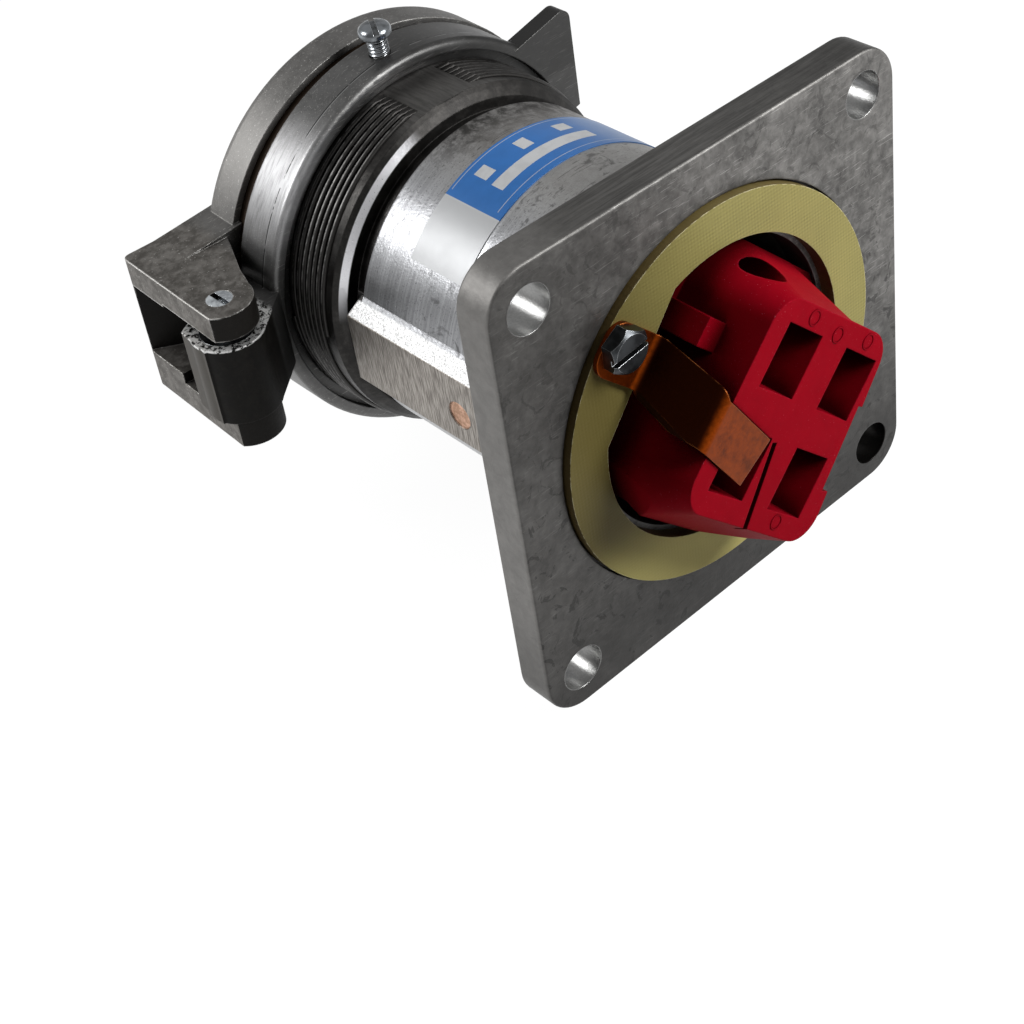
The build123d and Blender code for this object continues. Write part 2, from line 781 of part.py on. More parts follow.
# Hinge pin, with a slot across its upper end
with BuildPart() as hinge_pin:
    with BuildSketch(hinge_plane(fork_bottom)):
        Circle(pin_radius)
    extrude(amount=fork_height)
    with BuildSketch(hinge_plane(fork_bottom + fork_height)):
        Rectangle(driver_slot_width, pin_radius * 3)
    extrude(amount=-driver_slot_width, mode=Mode.SUBTRACT)
hinge_pin.part.label = "hinge_pin"
export_step(hinge_pin.part, "parts/hinge_pin.step")

# Bush in the mouth of the spring's pocket
with BuildPart() as hinge_bush:
    with BuildSketch(hinge_plane(barrel_top - bush_length)):
        Circle(spring_pocket_radius)
        Circle(pin_radius + pin_fit, mode=Mode.SUBTRACT)
    extrude(amount=bush_length)
hinge_bush.part.label = "hinge_bush"
export_step(hinge_bush.part, "parts/hinge_bush.step")

# Torsion spring, coiled round the pin between the barrel's floor and the bush
spring_start = barrel_bottom + barrel_floor + spring_wire_radius + spring_clearance
spring_end = barrel_top - bush_length - spring_wire_radius - spring_clearance
spring_coil_radius = (pin_radius + spring_pocket_radius) / 2
spring_steps = spring_coil_count * points_per_coil
spring_points = [
    (
        spring_coil_radius * cos(radians(360 * step / points_per_coil)),
        spring_coil_radius * sin(radians(360 * step / points_per_coil)),
        (spring_end - spring_start) * step / spring_steps,
    )
    for step in range(spring_steps + 1)
]
with BuildPart() as door_spring:
    with BuildLine(hinge_plane(spring_start)) as coil:
        Polyline(*spring_points)
    with BuildSketch(Plane(origin=coil.line @ 0, z_dir=coil.line % 0)):
        RegularPolygon(spring_wire_radius, 8)
    sweep(transition=Transition.RIGHT)
door_spring.part.label = "door_spring"
export_step(door_spring.part, "parts/door_spring.step")
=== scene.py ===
import math

import bpy
from bpy.props import FloatProperty, FloatVectorProperty, PointerProperty
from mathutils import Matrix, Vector


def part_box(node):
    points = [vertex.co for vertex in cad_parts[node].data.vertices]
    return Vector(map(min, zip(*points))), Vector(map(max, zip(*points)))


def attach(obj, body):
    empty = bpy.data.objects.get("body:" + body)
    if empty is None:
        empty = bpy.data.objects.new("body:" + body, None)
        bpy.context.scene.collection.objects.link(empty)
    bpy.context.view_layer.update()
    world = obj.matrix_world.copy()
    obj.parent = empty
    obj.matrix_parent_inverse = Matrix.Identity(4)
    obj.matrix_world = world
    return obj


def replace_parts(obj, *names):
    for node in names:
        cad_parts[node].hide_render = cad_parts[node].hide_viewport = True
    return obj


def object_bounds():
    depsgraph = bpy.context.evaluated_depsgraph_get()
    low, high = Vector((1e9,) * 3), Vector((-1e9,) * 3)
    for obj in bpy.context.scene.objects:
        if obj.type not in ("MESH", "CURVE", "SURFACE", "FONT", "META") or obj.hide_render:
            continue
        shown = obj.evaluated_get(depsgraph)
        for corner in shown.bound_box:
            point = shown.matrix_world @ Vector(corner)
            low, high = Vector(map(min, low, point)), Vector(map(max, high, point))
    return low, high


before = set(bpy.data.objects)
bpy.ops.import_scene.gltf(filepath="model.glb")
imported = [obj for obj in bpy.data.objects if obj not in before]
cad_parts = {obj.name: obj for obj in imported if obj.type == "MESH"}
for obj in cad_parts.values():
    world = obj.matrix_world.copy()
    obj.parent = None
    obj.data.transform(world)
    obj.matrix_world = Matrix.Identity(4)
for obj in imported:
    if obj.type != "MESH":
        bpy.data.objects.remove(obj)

bl_info = {
    "name": "Pin and sleeve receptacle",
    "version": (1, 0, 0),
    "blender": (4, 5, 0),
    "location": "3D View > Sidebar > Receptacle",
    "description": "Finishes, threads and marks of the receptacle, and the stage round it",
    "category": "Object",
}

MM = 0.001
MERGE = 0.001 * MM

# Light-path outputs of the rays that show a thing, to the camera or in a reflection
SEEN_RAYS = ("Is Camera Ray", "Is Glossy Ray", "Is Transmission Ray")

# Places of the solids, in metres, read from the frame
CAD_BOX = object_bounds()
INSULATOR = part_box("insulator_rear")
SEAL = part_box("ring_seal")
THREAD_ROOT = (SEAL[1][0] - SEAL[0][0]) / 2
GROUND_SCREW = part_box("ground_screw")
RING_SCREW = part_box("ring_screw")
RING_SCREW_PLACE = (RING_SCREW[0][1] + RING_SCREW[1][1]) / 2

# Ring screw's shank and place, as part.py has them
RING_SCREW_LENGTH = 8.3 * MM
RING_SCREW_ANGLE = math.radians(86.7)
RING_SCREW_SEAT = 46.2 * MM

# Collar's thread: its start along the axis, its turns and the height of the flat that cuts it
THREAD_START = -70.0 * MM
THREAD_TURNS = 7
THREAD_FLAT = THREAD_ROOT - 0.6 * MM

# Directions of the screws' slots, and how sharp an edge may be that is shaded smooth
RING_SCREW_TURN = math.radians(61)
GROUND_SCREW_TURN = math.radians(5.7)
SMOOTH_ANGLE = math.radians(30)

# Heads of the screws, as shares of their radius and height
PAN_HEAD = (
    (0, 0), (0.93, 0), (1, 0.12), (1, 0.42), (0.93, 0.66), (0.76, 0.86), (0.42, 0.97), (0, 1),
)
HEXAGON_CROWN = ((0, -1), (1.2, -1), (1.2, 0.6), (1, 0.72), (0.80, 1), (0, 1))

# Moulding marks on the insulator's face, in millimetres along the flange's two diagonals
MARKS = ((-9.1, 18.0), (-10.1, -18.7), (9.3, -18.5), (0.1, -17.5))

# Borders between the looks of one piece, in millimetres along, across, above or out from the axis
FLANGE_BACK = -8.0
HOLE_PLACE = 41.3
HOLE_RIM = 4.69
NECK = -62.05
CHAMFER = (-67.55, -66.6)
FLAT_END = -68.4
PAD_LOW, PAD_HIGH = -12.0, 11.2
PAD_ROOT, PAD_FACE = 33.0, 35.4
SCRIBED_LINE = -83.6
RING_RADIUS = 42.05
LUG_LOW = 20
BARREL_SIDE, BARREL_TOP = 43.5, 7.9
FORK_SIDE = 40.5
STRAP_RISER = (2.8, 17.6)

# Bare boxes of the foil: start and end angle in degrees, low and high place along the axis in
# millimetres; then the places of its ruled lines
FOIL_BOXES = (
    (70.5, 75.2, -49.2, -45.8),
    (87, 91.5, -49.0, -45.6),
    (103, 108.5, -48.8, -45.9),
    (70, 111, -44, -40.9),
)
FOIL_LINES = (-51.05, -38.25)

# Settings that every colour property has
COLOUR = {"subtype": "COLOR", "size": 3, "min": 0, "max": 1}


class CastMetal(bpy.types.PropertyGroup):
    """Sizes and colours of the aluminium castings"""

    flange_tone: FloatVectorProperty(
        name="Flange tone", description="Colour of the flange's cast skin",
        default=(0.170, 0.165, 0.158), **COLOUR,
    )
    body_tone: FloatVectorProperty(
        name="Body tone", description="Colour of the body where handling has polished it",
        default=(0.42, 0.425, 0.44), **COLOUR,
    )
    thread_tone: FloatVectorProperty(
        name="Thread tone", description="Colour of the greasy thread and neck",
        default=(0.018, 0.017, 0.016), **COLOUR,
    )
    ring_tone: FloatVectorProperty(
        name="Ring tone", description="Colour of the ring's cast skin",
        default=(0.135, 0.134, 0.132), **COLOUR,
    )
    door_tone: FloatVectorProperty(
        name="Door tone", description="Colour of the door's cast skin",
        default=(0.170, 0.166, 0.160), **COLOUR,
    )
    worn: FloatVectorProperty(
        name="Worn", description="Colour of bare metal on worn edges and scratches",
        default=(0.55, 0.54, 0.52), **COLOUR,
    )
    grain: FloatProperty(
        name="Grain", description="Size of the pits of the cast skin", unit="LENGTH",
        default=0.5 * MM,
    )
    thread_crest: FloatProperty(
        name="Thread crest", description="Radius over the collar's thread", unit="LENGTH",
        default=THREAD_ROOT + 0.8 * MM,
    )
    thread_pitch: FloatProperty(
        name="Thread pitch", description="Distance between two turns of the collar's thread",
        unit="LENGTH", default=1.55 * MM,
    )


class Plastics(bpy.types.PropertyGroup):
    """Colours of the insulators, the washer and the gaskets"""

    red: FloatVectorProperty(
        name="Red", description="Colour of the moulded insulators", default=(0.265, 0.0015, 0.0085),
        **COLOUR,
    )
    laminate: FloatVectorProperty(
        name="Laminate", description="Colour of the insulating washer",
        default=(0.275, 0.245, 0.085), **COLOUR,
    )
    weave: FloatProperty(
        name="Weave", description="Distance between two threads in the washer's cloth",
        unit="LENGTH", default=0.75 * MM,
    )
    rubber: FloatVectorProperty(
        name="Rubber", description="Colour of gasket and seal", default=(0.022, 0.013, 0.007),
        **COLOUR,
    )
    mark_radius: FloatProperty(
        name="Mark radius", description="Radius of the moulding marks on the insulator's face",
        unit="LENGTH", default=1.45 * MM,
    )
    mark_bead: FloatProperty(
        name="Mark bead", description="Radius of the bead that a moulding mark is made of",
        unit="LENGTH", default=0.16 * MM,
    )


class Metals(bpy.types.PropertyGroup):
    """Colours and sizes of the copper and the plated steel"""

    copper: FloatVectorProperty(
        name="Copper", description="Colour of the ground strap", default=(0.235, 0.040, 0.003),
        **COLOUR,
    )
    # Near-black colour of the strap's riser, painted there as shade and dark reflection, and of the
    # real tarnish in its stains
    tarnish_and_shade: FloatVectorProperty(
        name="Tarnish", description="Colour of the strap's browned stretch",
        default=(0.012, 0.0026, 0.001), **COLOUR,
    )
    plating: FloatVectorProperty(
        name="Plating", description="Colour of the zinc-plated screws", default=(0.30, 0.32, 0.34),
        **COLOUR,
    )
    screw_pitch: FloatProperty(
        name="Screw pitch", description="Distance between two turns of the ring screw's thread",
        unit="LENGTH", default=0.8 * MM,
    )
    screw_radius: FloatProperty(
        name="Screw radius",
        description="Radius over the thread of the ring screw and the ground screw", unit="LENGTH",
        default=2.1 * MM,
    )
    thread_depth: FloatProperty(
        name="Thread depth",
        description="Depth of the thread of the ring screw and the ground screw", unit="LENGTH",
        default=0.35 * MM,
    )
    pan_radius: FloatProperty(
        name="Pan radius", description="Radius of the ring screw's pan head", unit="LENGTH",
        default=3.35 * MM,
    )
    pan_height: FloatProperty(
        name="Pan height", description="Height of the ring screw's pan head", unit="LENGTH",
        default=2.5 * MM,
    )
    hexagon_radius: FloatProperty(
        name="Hexagon radius", description="Radius over the corners of the ground screw's head",
        unit="LENGTH", default=4.58 * MM,
    )
    hexagon_height: FloatProperty(
        name="Hexagon height", description="Height of the ground screw's head", unit="LENGTH",
        default=3.2 * MM,
    )
    slot_width: FloatProperty(
        name="Slot width", description="Width of the screws' slots", unit="LENGTH",
        default=1.1 * MM,
    )


class Label(bpy.types.PropertyGroup):
    """Colours and places of the fields on the nameplate foil"""

    field: FloatVectorProperty(
        name="Field", description="Colour of the foil's printed field",
        default=(0.035, 0.190, 0.56), **COLOUR,
    )
    paper: FloatVectorProperty(
        name="Paper", description="Colour of the foil's plain places", default=(0.62, 0.63, 0.64),
        **COLOUR,
    )
    field_start: FloatProperty(
        name="Field start", description="Angle round the body where the printed field starts",
        subtype="ANGLE", unit="ROTATION", default=math.radians(60.9),
    )


class Stage(bpy.types.PropertyGroup):
    """Camera and lights"""

    camera_place: FloatVectorProperty(
        name="Camera place", description="Where the camera stands", subtype="TRANSLATION",
        unit="LENGTH", size=3, default=(0.19745, 0.20432, 0.22613),
    )
    camera_turn: FloatVectorProperty(
        name="Camera turn", description="Rotation of the camera", subtype="EULER", unit="ROTATION",
        size=3, default=(math.radians(51.993), math.radians(5.800), math.radians(135.879)),
    )
    focal_length: FloatProperty(
        name="Focal length", description="Focal length on a 36 mm sensor, in millimetres",
        default=69.61,
    )
    shift: FloatVectorProperty(
        name="Shift", description="How far the picture is cropped off centre", size=2,
        default=(-0.0852, -0.1368),
    )
    key: FloatProperty(
        name="Key", description="Power of the lamp above the wiring side, in watts", default=1.75,
    )
    key_place: FloatVectorProperty(
        name="Key place", description="Where the lamp above the wiring side stands",
        subtype="TRANSLATION", unit="LENGTH", size=3, default=(-0.16, 0.24, 0.22),
    )
    key_size: FloatProperty(
        name="Key size", description="Width of the lamp above the wiring side", unit="LENGTH",
        default=0.20,
    )
    side: FloatProperty(
        name="Side", description="Power of the lamp beside the hinge, in watts", default=3.2,
    )
    side_place: FloatVectorProperty(
        name="Side place", description="Where the lamp beside the hinge stands",
        subtype="TRANSLATION", unit="LENGTH", size=3, default=(0.50, -0.46, 0.44),
    )
    side_size: FloatProperty(
        name="Side size", description="Width of the lamp beside the hinge", unit="LENGTH",
        default=0.36,
    )
    room: FloatProperty(
        name="Room", description="Strength of the light from all round", default=0.05,
    )
    room_seen: FloatProperty(
        name="Room seen", description="Strength of the room where a reflection shows it",
        default=0.45,
    )
    floor_size: FloatProperty(
        name="Floor size", description="Width of the floor", unit="LENGTH", default=8.0,
    )
    floor_seen: FloatProperty(
        name="Floor seen",
        description="Strength of the floor where the camera or a reflection shows it", default=1.2,
    )


def arithmetic(operation, swapped=False):
    """A method of Wire for one of Python's operators"""

    def method(self, other):
        values = (other, self) if swapped else (self, other)
        return self.maths(operation, *values)

    return method


class Wire:
    """A node's output that can be calculated with, as in 1 - mask * 0.5"""

    def __init__(self, finish, socket):
        self.finish = finish
        self.socket = socket

    def maths(self, operation, *values):
        """Adds a Math node that works on these values"""
        return self.finish.node("ShaderNodeMath", {"operation": operation}, dict(enumerate(values)))

    __add__ = arithmetic("ADD")
    __radd__ = arithmetic("ADD", swapped=True)
    __sub__ = arithmetic("SUBTRACT")
    __rsub__ = arithmetic("SUBTRACT", swapped=True)
    __mul__ = arithmetic("MULTIPLY")
    __rmul__ = arithmetic("MULTIPLY", swapped=True)
    __truediv__ = arithmetic("DIVIDE")
    __gt__ = arithmetic("GREATER_THAN")
    __lt__ = arithmetic("LESS_THAN")
    __pow__ = arithmetic("POWER")

    def size(self):
        return self.maths("ABSOLUTE", self)

    def sine(self):
        return self.maths("SINE", self)

    def or_more(self, other):
        """The larger of the two values"""
        return self.maths("MAXIMUM", self, other)

    def rise(self, low, high):
        """0 below the first value and 1 above the second, smooth between"""
        return self.finish.node(
            "ShaderNodeMapRange",
            {"interpolation_type": "SMOOTHSTEP"},
            {"Value": self, "From Min": low, "From Max": high},
        )

    def band(self, low, high, soft):
        """1 between two values, 0 outside them"""
        return self.rise(low - soft, low + soft) * (1 - self.rise(high - soft, high + soft))


class Finish:
    """A material under construction, and the nodes that it is made of"""

    def __init__(self, name, **shader_values):
        self.material = bpy.data.materials.new(name)
        self.material.use_nodes = True
        self.tree = self.material.node_tree
        self.shader = self.tree.nodes["Principled BSDF"]
        for socket, value in shader_values.items():
            self.set(socket.replace("_", " "), value)
        self.place = self.node("ShaderNodeTexCoord", {}, {}, "Object")
        self.facing = self.node("ShaderNodeTexCoord", {}, {}, "Normal")

    def node(self, kind, settings, sockets, output=0):
        """Adds a node: its settings first, then the values or links of its sockets"""
        made = self.tree.nodes.new(kind)
        for name, value in settings.items():
            setattr(made, name, value)
        for name, value in sockets.items():
            self.feed(made.inputs[name], value)
        return Wire(self, made.outputs[output])

    def feed(self, socket, value):
        """Links a wire to a socket, or sets the socket's own value"""
        if isinstance(value, Wire):
            self.tree.links.new(value.socket, socket)
        elif socket.type == "RGBA":
            socket.default_value = (*value, 1)
        else:
            socket.default_value = value

    def set(self, name, value):
        """Sets or links one of the shader's own sockets"""
        self.feed(self.shader.inputs[name], value)

    def done(self, colour, roughness, normal):
        """Sets or links what every finish has, and gives the material"""
        self.set("Base Color", colour)
        self.set("Roughness", roughness)
        self.set("Normal", normal)
        return self.material

    def axis(self, name):
        """One coordinate of the place, in millimetres"""
        return self.node("ShaderNodeSeparateXYZ", {}, {"Vector": self.place}, name) / MM

    def faces(self, name):
        """How far the surface faces along one axis, from -1 to 1"""
        return self.node("ShaderNodeSeparateXYZ", {}, {"Vector": self.facing}, name)

    def from_axis(self):
        """Distance from the object's main axis, in millimetres"""
        across, up = self.axis("X"), self.axis("Z")
        return (across * across + up * up) ** 0.5

    def round_axis(self):
        """Angle round the main axis, in degrees from +X"""
        up = self.axis("Z")
        return up.maths("ARCTAN2", up, self.axis("X")) / math.radians(1)

    def stretched(self, factors, turn=(0, 0, 0)):
        """The place, turned and stretched along the axes"""
        sockets = {"Vector": self.place, "Rotation": turn, "Scale": factors}
        return self.node("ShaderNodeMapping", {}, sockets)

    def noise(self, size, detail=4.0, roughness=0.55, distortion=0.0, at=None):
        """Soft noise with features of about this size in metres"""
        sockets = {
            "Vector": at or self.place,
            "Scale": 1 / size,
            "Detail": detail,
            "Roughness": roughness,
            "Distortion": distortion,
        }
        return self.node("ShaderNodeTexNoise", {}, sockets)

    def mix(self, factor, first, second):
        """Mixes two colours: only the first at 0, only the second at 1"""
        sockets = {"Factor": factor, 6: first, 7: second}
        return self.node("ShaderNodeMix", {"data_type": "RGBA"}, sockets, 2)

    def bump(self, height, depth, normal=None):
        """Raises the surface by the height times the depth in metres"""
        sockets = {"Strength": 1.0, "Distance": depth, "Height": height}
        if normal:
            sockets["Normal"] = normal
        return self.node("ShaderNodeBump", {}, sockets, "Normal")

    def soft_edge(self, radius):
        """Shades the edges as if they were rounded by this radius in metres"""
        return self.node("ShaderNodeBevel", {"samples": 6}, {"Radius": radius})

    def edges(self, radius):
        """1 at the edges, 0 on the faces, from how far a rounding of this radius bends them"""
        true = self.node("ShaderNodeNewGeometry", {}, {}, "Normal")
        sockets = {0: self.soft_edge(radius), 1: true}
        level = self.node("ShaderNodeVectorMath", {"operation": "DOT_PRODUCT"}, sockets, "Value")
        return (1 - level).rise(0.02, 0.16)

    def hollows(self, distance):
        """1 in corners and under overhangs, 0 in the open: the mask under painted shade"""
        open_share = self.node(
            "ShaderNodeAmbientOcclusion", {"samples": 6}, {"Distance": distance}, "AO"
        )
        return 1 - open_share

    def scratches(self, width, length, turn, amount):
        """Thin lines of about this width and length in metres, on a small share of the surface"""
        at = self.stretched((width / length, 1, 1), turn)
        lines = self.noise(width, detail=1.5, roughness=0.5, at=at)
        return lines.rise(0.74 - amount, 0.80 - amount)


def tinted(colour, gain):
    """The colour made lighter or darker"""
    return tuple(min(value * gain, 1) for value in colour)


def cast_skin(finish, metal, tone, contrast, nicks=0.5):
    """Colour of cast aluminium: mottled, with scratches, painted shade in its hollows and bare worn
    edges
    """
    cloud = finish.noise(13 * MM, detail=3, roughness=0.5, distortion=0.4)
    mottle = finish.noise(2.4 * MM, detail=6, roughness=0.68, distortion=0.3)
    level = cloud.rise(0.3, 0.7) * 0.4 + mottle.rise(0.32, 0.68) * 0.6
    colour = finish.mix(level, tinted(tone, 1 - contrast * 0.55), tinted(tone, 1 + contrast * 0.45))
    # Painted shade: darkened in corners and hollows
    colour = finish.mix(finish.hollows(5 * MM).rise(0.35, 1.0) * 0.85, colour, tinted(tone, 0.12))
    thin = finish.scratches(0.20 * MM, 5 * MM, (0.4, 0.9, 0.5), 0.08) * 0.45
    cross = finish.scratches(0.18 * MM, 4 * MM, (2.1, 0.3, 1.9), 0.07) * 0.45
    chips = finish.noise(0.9 * MM, detail=3, roughness=0.7).rise(0.52, 0.60)
    edge = finish.edges(0.45 * MM) * (0.25 + 0.75 * chips) * nicks
    colour = finish.mix((thin + cross).or_more(edge), colour, metal.worn)
    return colour, mottle, edge


def cast_bump(finish, metal, mottle, depth):
    """Pits and slight unevenness of a cast skin"""
    pits = finish.noise(metal.grain, detail=3, roughness=0.65)
    return finish.bump(pits * 0.6 + mottle * 0.8, depth, normal=finish.soft_edge(0.4 * MM))


def flange_skin(finish, tone, skin, mottle, fine):
    """Flange: darker towards the bottom and towards +X, smeared, brushed along its upper edge, with
    a painted highlight on faces towards +X and bare holes
    """
    side, up = finish.axis("X"), finish.axis("Z")
    cloud = finish.noise(11 * MM, detail=5, roughness=0.6, distortion=0.8)
    # Darker towards the bottom and towards +X, unevenly
    low_and_plus_x_dark = (1 - up.rise(-56, 20)).or_more(side.rise(-10, 45) * 0.8) * (0.6 + 0.8 * cloud)
    skin = finish.mix(low_and_plus_x_dark * 0.85, skin, tinted(tone, 0.26))
    smear = finish.noise(5 * MM, detail=7, roughness=0.66, distortion=1.8).rise(0.585, 0.615)
    skin = finish.mix(smear * (0.75 - 0.35 * up.rise(-20, 30)), skin, tinted(tone, 0.16))
    blotch = finish.noise(6 * MM, detail=5, roughness=0.62, distortion=1.0).rise(0.42, 0.66)
    skin = finish.mix((1 - blotch) * 0.30, skin, (0.035, 0.033, 0.031))
    upper_edge = finish.faces("Z").rise(0.6, 0.9) * (1 - side.rise(20, 40))
    long_strokes = finish.noise(
        0.6 * MM, detail=4, roughness=0.6, at=finish.stretched((0.06, 1, 1))
    ).rise(0.3, 0.7)
    brushed = finish.mix(long_strokes, tinted(tone, 0.38), tinted(tone, 0.82))
    brushed = finish.mix((1 - side.rise(-45, 5)) * 0.5, brushed, tinted(tone, 0.1))
    skin = finish.mix(upper_edge * 0.85, skin, brushed)
    # Painted highlight: lighter on faces towards +X, and on upward faces towards +X, mottled
    lightened = finish.faces("X").rise(0.4, 0.9)
    lightened = lightened.or_more(finish.faces("Z").rise(0.4, 0.9) * side.rise(24, 44))
    skin = finish.mix(lightened * (0.3 + 0.4 * mottle), skin, tinted(tone, 1.8))
    # Darker again towards the bottom
    bottom_dark = 1 - up.rise(-42, -16)
    skin = finish.mix(bottom_dark * 0.42, skin, tinted(tone, 0.1))
    across, above = side.size() - HOLE_PLACE, up.size() - HOLE_PLACE
    from_hole = across * across + above * above
    drilled = 1 - from_hole.rise(HOLE_RIM**2, (HOLE_RIM + 0.06) ** 2)
    shaded = (1 - side.rise(-5, 5)) * (1 - up.rise(-5, 5))
    drilled_tone = finish.mix(fine, (0.20, 0.20, 0.20), (0.38, 0.38, 0.37))
    drilled_tone = finish.mix(shaded, drilled_tone, (0.012, 0.011, 0.010))
    return finish.mix(drilled, skin, drilled_tone), drilled


def body_skin(finish, tone, mottle, fine):
    """Body: turned and polished beside, brown on top and below, with smudges and scuffs"""
    along, round_angle = finish.axis("Y"), finish.round_axis()
    darkened = round_angle.size().rise(56, 84) * (0.80 + 0.5 * (mottle - 0.5))
    turned_lines = finish.noise(0.5 * MM, detail=3, at=finish.stretched((0.02, 1, 0.02)))
    polished = finish.mix(turned_lines.rise(0.35, 0.7), tinted(tone, 0.72), tone)
    brown = finish.mix(along.rise(-60, -36), (0.085, 0.076, 0.066), (0.250, 0.243, 0.232))
    speckle = finish.mix(fine.rise(0.3, 0.7), (0.70, 0.70, 0.70), (1, 1, 1))
    body = finish.mix(darkened, finish.mix(darkened, polished, speckle), brown)
    smudge = finish.noise(5 * MM, detail=5, roughness=0.6, distortion=1.2).rise(0.58, 0.68) * 0.55
    near_neck = 1 - along.rise(-61.5, -52)
    smudge = smudge.or_more(near_neck * mottle.rise(0.35, 0.6) * darkened)
    scuffs = finish.scratches(0.25 * MM, 9 * MM, (0.2, 0.3, 1.3), 0.12) * 0.5
    return finish.mix(smudge.or_more(scuffs), body, (0.02, 0.019, 0.018)), darkened


def pad_skin(finish, fine):
    """Pad on the body's side: a brushed face between two sloping sides"""
    brush = finish.noise(0.22 * MM, detail=3, at=finish.stretched((1, 1, 0.06))).rise(0.35, 0.65)
    slope = finish.mix(fine.rise(0.45, 0.62), (0.72, 0.72, 0.72), (0.36, 0.36, 0.36))
    face = finish.mix(brush, (0.150, 0.132, 0.115), (0.42, 0.39, 0.355))
    return finish.mix(finish.axis("X").rise(PAD_FACE, PAD_FACE + 0.1), slope, face)


def collar_skin(finish, metal, mottle):
    """Neck and collar: greasy black, with a painted highlight on the chamfer and a worn flat on top
    """
    along, side, up = finish.axis("Y"), finish.axis("X"), finish.axis("Z")
    greasy = finish.mix(mottle.rise(0.4, 0.75), metal.thread_tone, tinted(metal.thread_tone, 2.4))
    # Painted highlight: the chamfer is light only from 14 to 66 degrees round the axis
    bright = along.band(*CHAMFER, 0.06) * finish.round_axis().band(14, 66, 9)
    greasy = finish.mix(bright, greasy, (0.80, 0.80, 0.83))
    strokes = finish.noise(0.6 * MM, detail=4, at=finish.stretched((1, 0.12, 1))).rise(0.3, 0.7)
    worn_flat = 1 - side.size().rise(9, 16)
    worn_flat = worn_flat * up.rise(30, 32) * (1 - along.rise(FLAT_END - 0.2, FLAT_END + 0.2))
    return finish.mix(worn_flat * (0.5 + 0.45 * strokes), greasy, tinted(metal.flange_tone, 0.75))


def housing_metal(name, metal):
    """Cast housing: grey flange, polished body, brushed pad, black neck and collar"""
    finish = Finish(name, Metallic=0.8, Specular_IOR_Level=0.5)
    along, side, up = finish.axis("Y"), finish.axis("X"), finish.axis("Z")
    skin, mottle, edge = cast_skin(finish, metal, metal.flange_tone, contrast=1.0, nicks=0.32)
    fine = finish.noise(0.35 * MM, detail=3, roughness=0.6)
    flange, drilled = flange_skin(finish, metal.flange_tone, skin, mottle, fine)
    body, darkened = body_skin(finish, metal.body_tone, mottle, fine)
    on_body = 1 - along.rise(FLANGE_BACK - 0.3, FLANGE_BACK)
    colour = finish.mix(on_body, flange, body)
    on_pad = on_body * side.rise(PAD_ROOT, PAD_ROOT + 0.4) * up.band(PAD_LOW, PAD_HIGH, 0.1)
    on_pad = on_pad * finish.from_axis().rise(34.4, 34.6)
    colour = finish.mix(on_pad, colour, pad_skin(finish, fine))
    on_collar = (1 - along.rise(NECK, NECK + 0.2)) * (1 - on_pad * along.rise(-64.5, -64.3))
    colour = finish.mix(on_collar, colour, collar_skin(finish, metal, mottle))
    rough = 0.50 - 0.1 * edge - 0.22 * drilled
    smooth = 0.24 + 0.26 * darkened + 0.10 * fine
    roughness = rough + on_body * (smooth - rough) + on_pad * 0.12
    return finish.done(colour, roughness, cast_bump(finish, metal, mottle, 0.05 * MM))


def ring_metal(name, metal):
    """Cast ring: smooth and grey with a scribed line, a painted highlight on one side and painted
    shade at the top, the bottom and towards +X; the hinge barrel is painted nearly black as shade,
    with a painted highlight on its top
    """
    finish = Finish(name, Specular_IOR_Level=0.15)
    along, round_angle = finish.axis("Y"), finish.round_axis()
    skin, mottle, edge = cast_skin(finish, metal, metal.ring_tone, contrast=0.4)
    brushed = finish.noise(0.4 * MM, detail=3, at=finish.stretched((0.1, 1, 0.1))).rise(0.3, 0.6)
    # Painted highlight: a lighter brushed band from 28 to 52 degrees round the axis
    lightened = round_angle.band(28, 52, 12) * (0.45 + 0.35 * brushed)
    skin = finish.mix(lightened, skin, (0.50, 0.50, 0.51))
    # Painted shade: darker at the top, the bottom and towards +X
    ring_painted_shade = round_angle.size().rise(76, 92).or_more(1 - round_angle.size().rise(6, 24))
    skin = finish.mix(ring_painted_shade * 0.62, skin, tinted(metal.ring_tone, 0.28))
    # The lug is darker, and its upward faces darker still as painted shade
    lug = round_angle.rise(108, 114) * finish.axis("Z").rise(LUG_LOW, LUG_LOW + 2)
    lug = lug * (0.55 + 0.35 * finish.faces("Z").rise(0.5, 0.9))
    skin = finish.mix(lug, skin, tinted(metal.ring_tone, 0.30))
    # Hinge barrel: painted nearly black as shade, a little lighter on its faces towards +X
    barrel = finish.axis("X").rise(BARREL_SIDE, BARREL_SIDE + 2)
    black = finish.mix(mottle.rise(0.4, 0.7), (0.003, 0.0025, 0.002), (0.009, 0.008, 0.0065))
    black = finish.mix(finish.faces("X").rise(0.93, 0.97), black, (0.100, 0.093, 0.083))
    colour = finish.mix(barrel, skin, black)
    # Scribed line, dark, with a painted highlight on its lip
    broken = finish.noise(2.5 * MM, detail=3).rise(0.40, 0.5)
    broken = broken * finish.from_axis().band(RING_RADIUS - 0.35, RING_RADIUS + 0.35, 0.2)
    line = along.band(SCRIBED_LINE - 0.15, SCRIBED_LINE + 0.1, 0.06) * broken
    lip_highlight = along.band(SCRIBED_LINE + 0.15, SCRIBED_LINE + 0.35, 0.06) * broken
    colour = finish.mix(line * 0.9, colour, (0.010, 0.010, 0.010))
    colour = finish.mix(lip_highlight * 0.6, colour, (0.40, 0.40, 0.40))
    # Speckled end of the barrel: a painted highlight
    top = finish.axis("Z").rise(BARREL_TOP, BARREL_TOP + 0.3) * barrel
    speckled = finish.noise(0.8 * MM, detail=3, roughness=0.7).rise(0.42, 0.52)
    finish.set("Metallic", 0.8 - 0.6 * barrel * (1 - top))
    return finish.done(
        finish.mix(top * speckled * 0.9, colour, (0.85, 0.85, 0.84)),
        0.32 + 0.14 * mottle - 0.06 * edge + 0.15 * barrel,
        cast_bump(finish, metal, mottle, 0.030 * MM),
    )


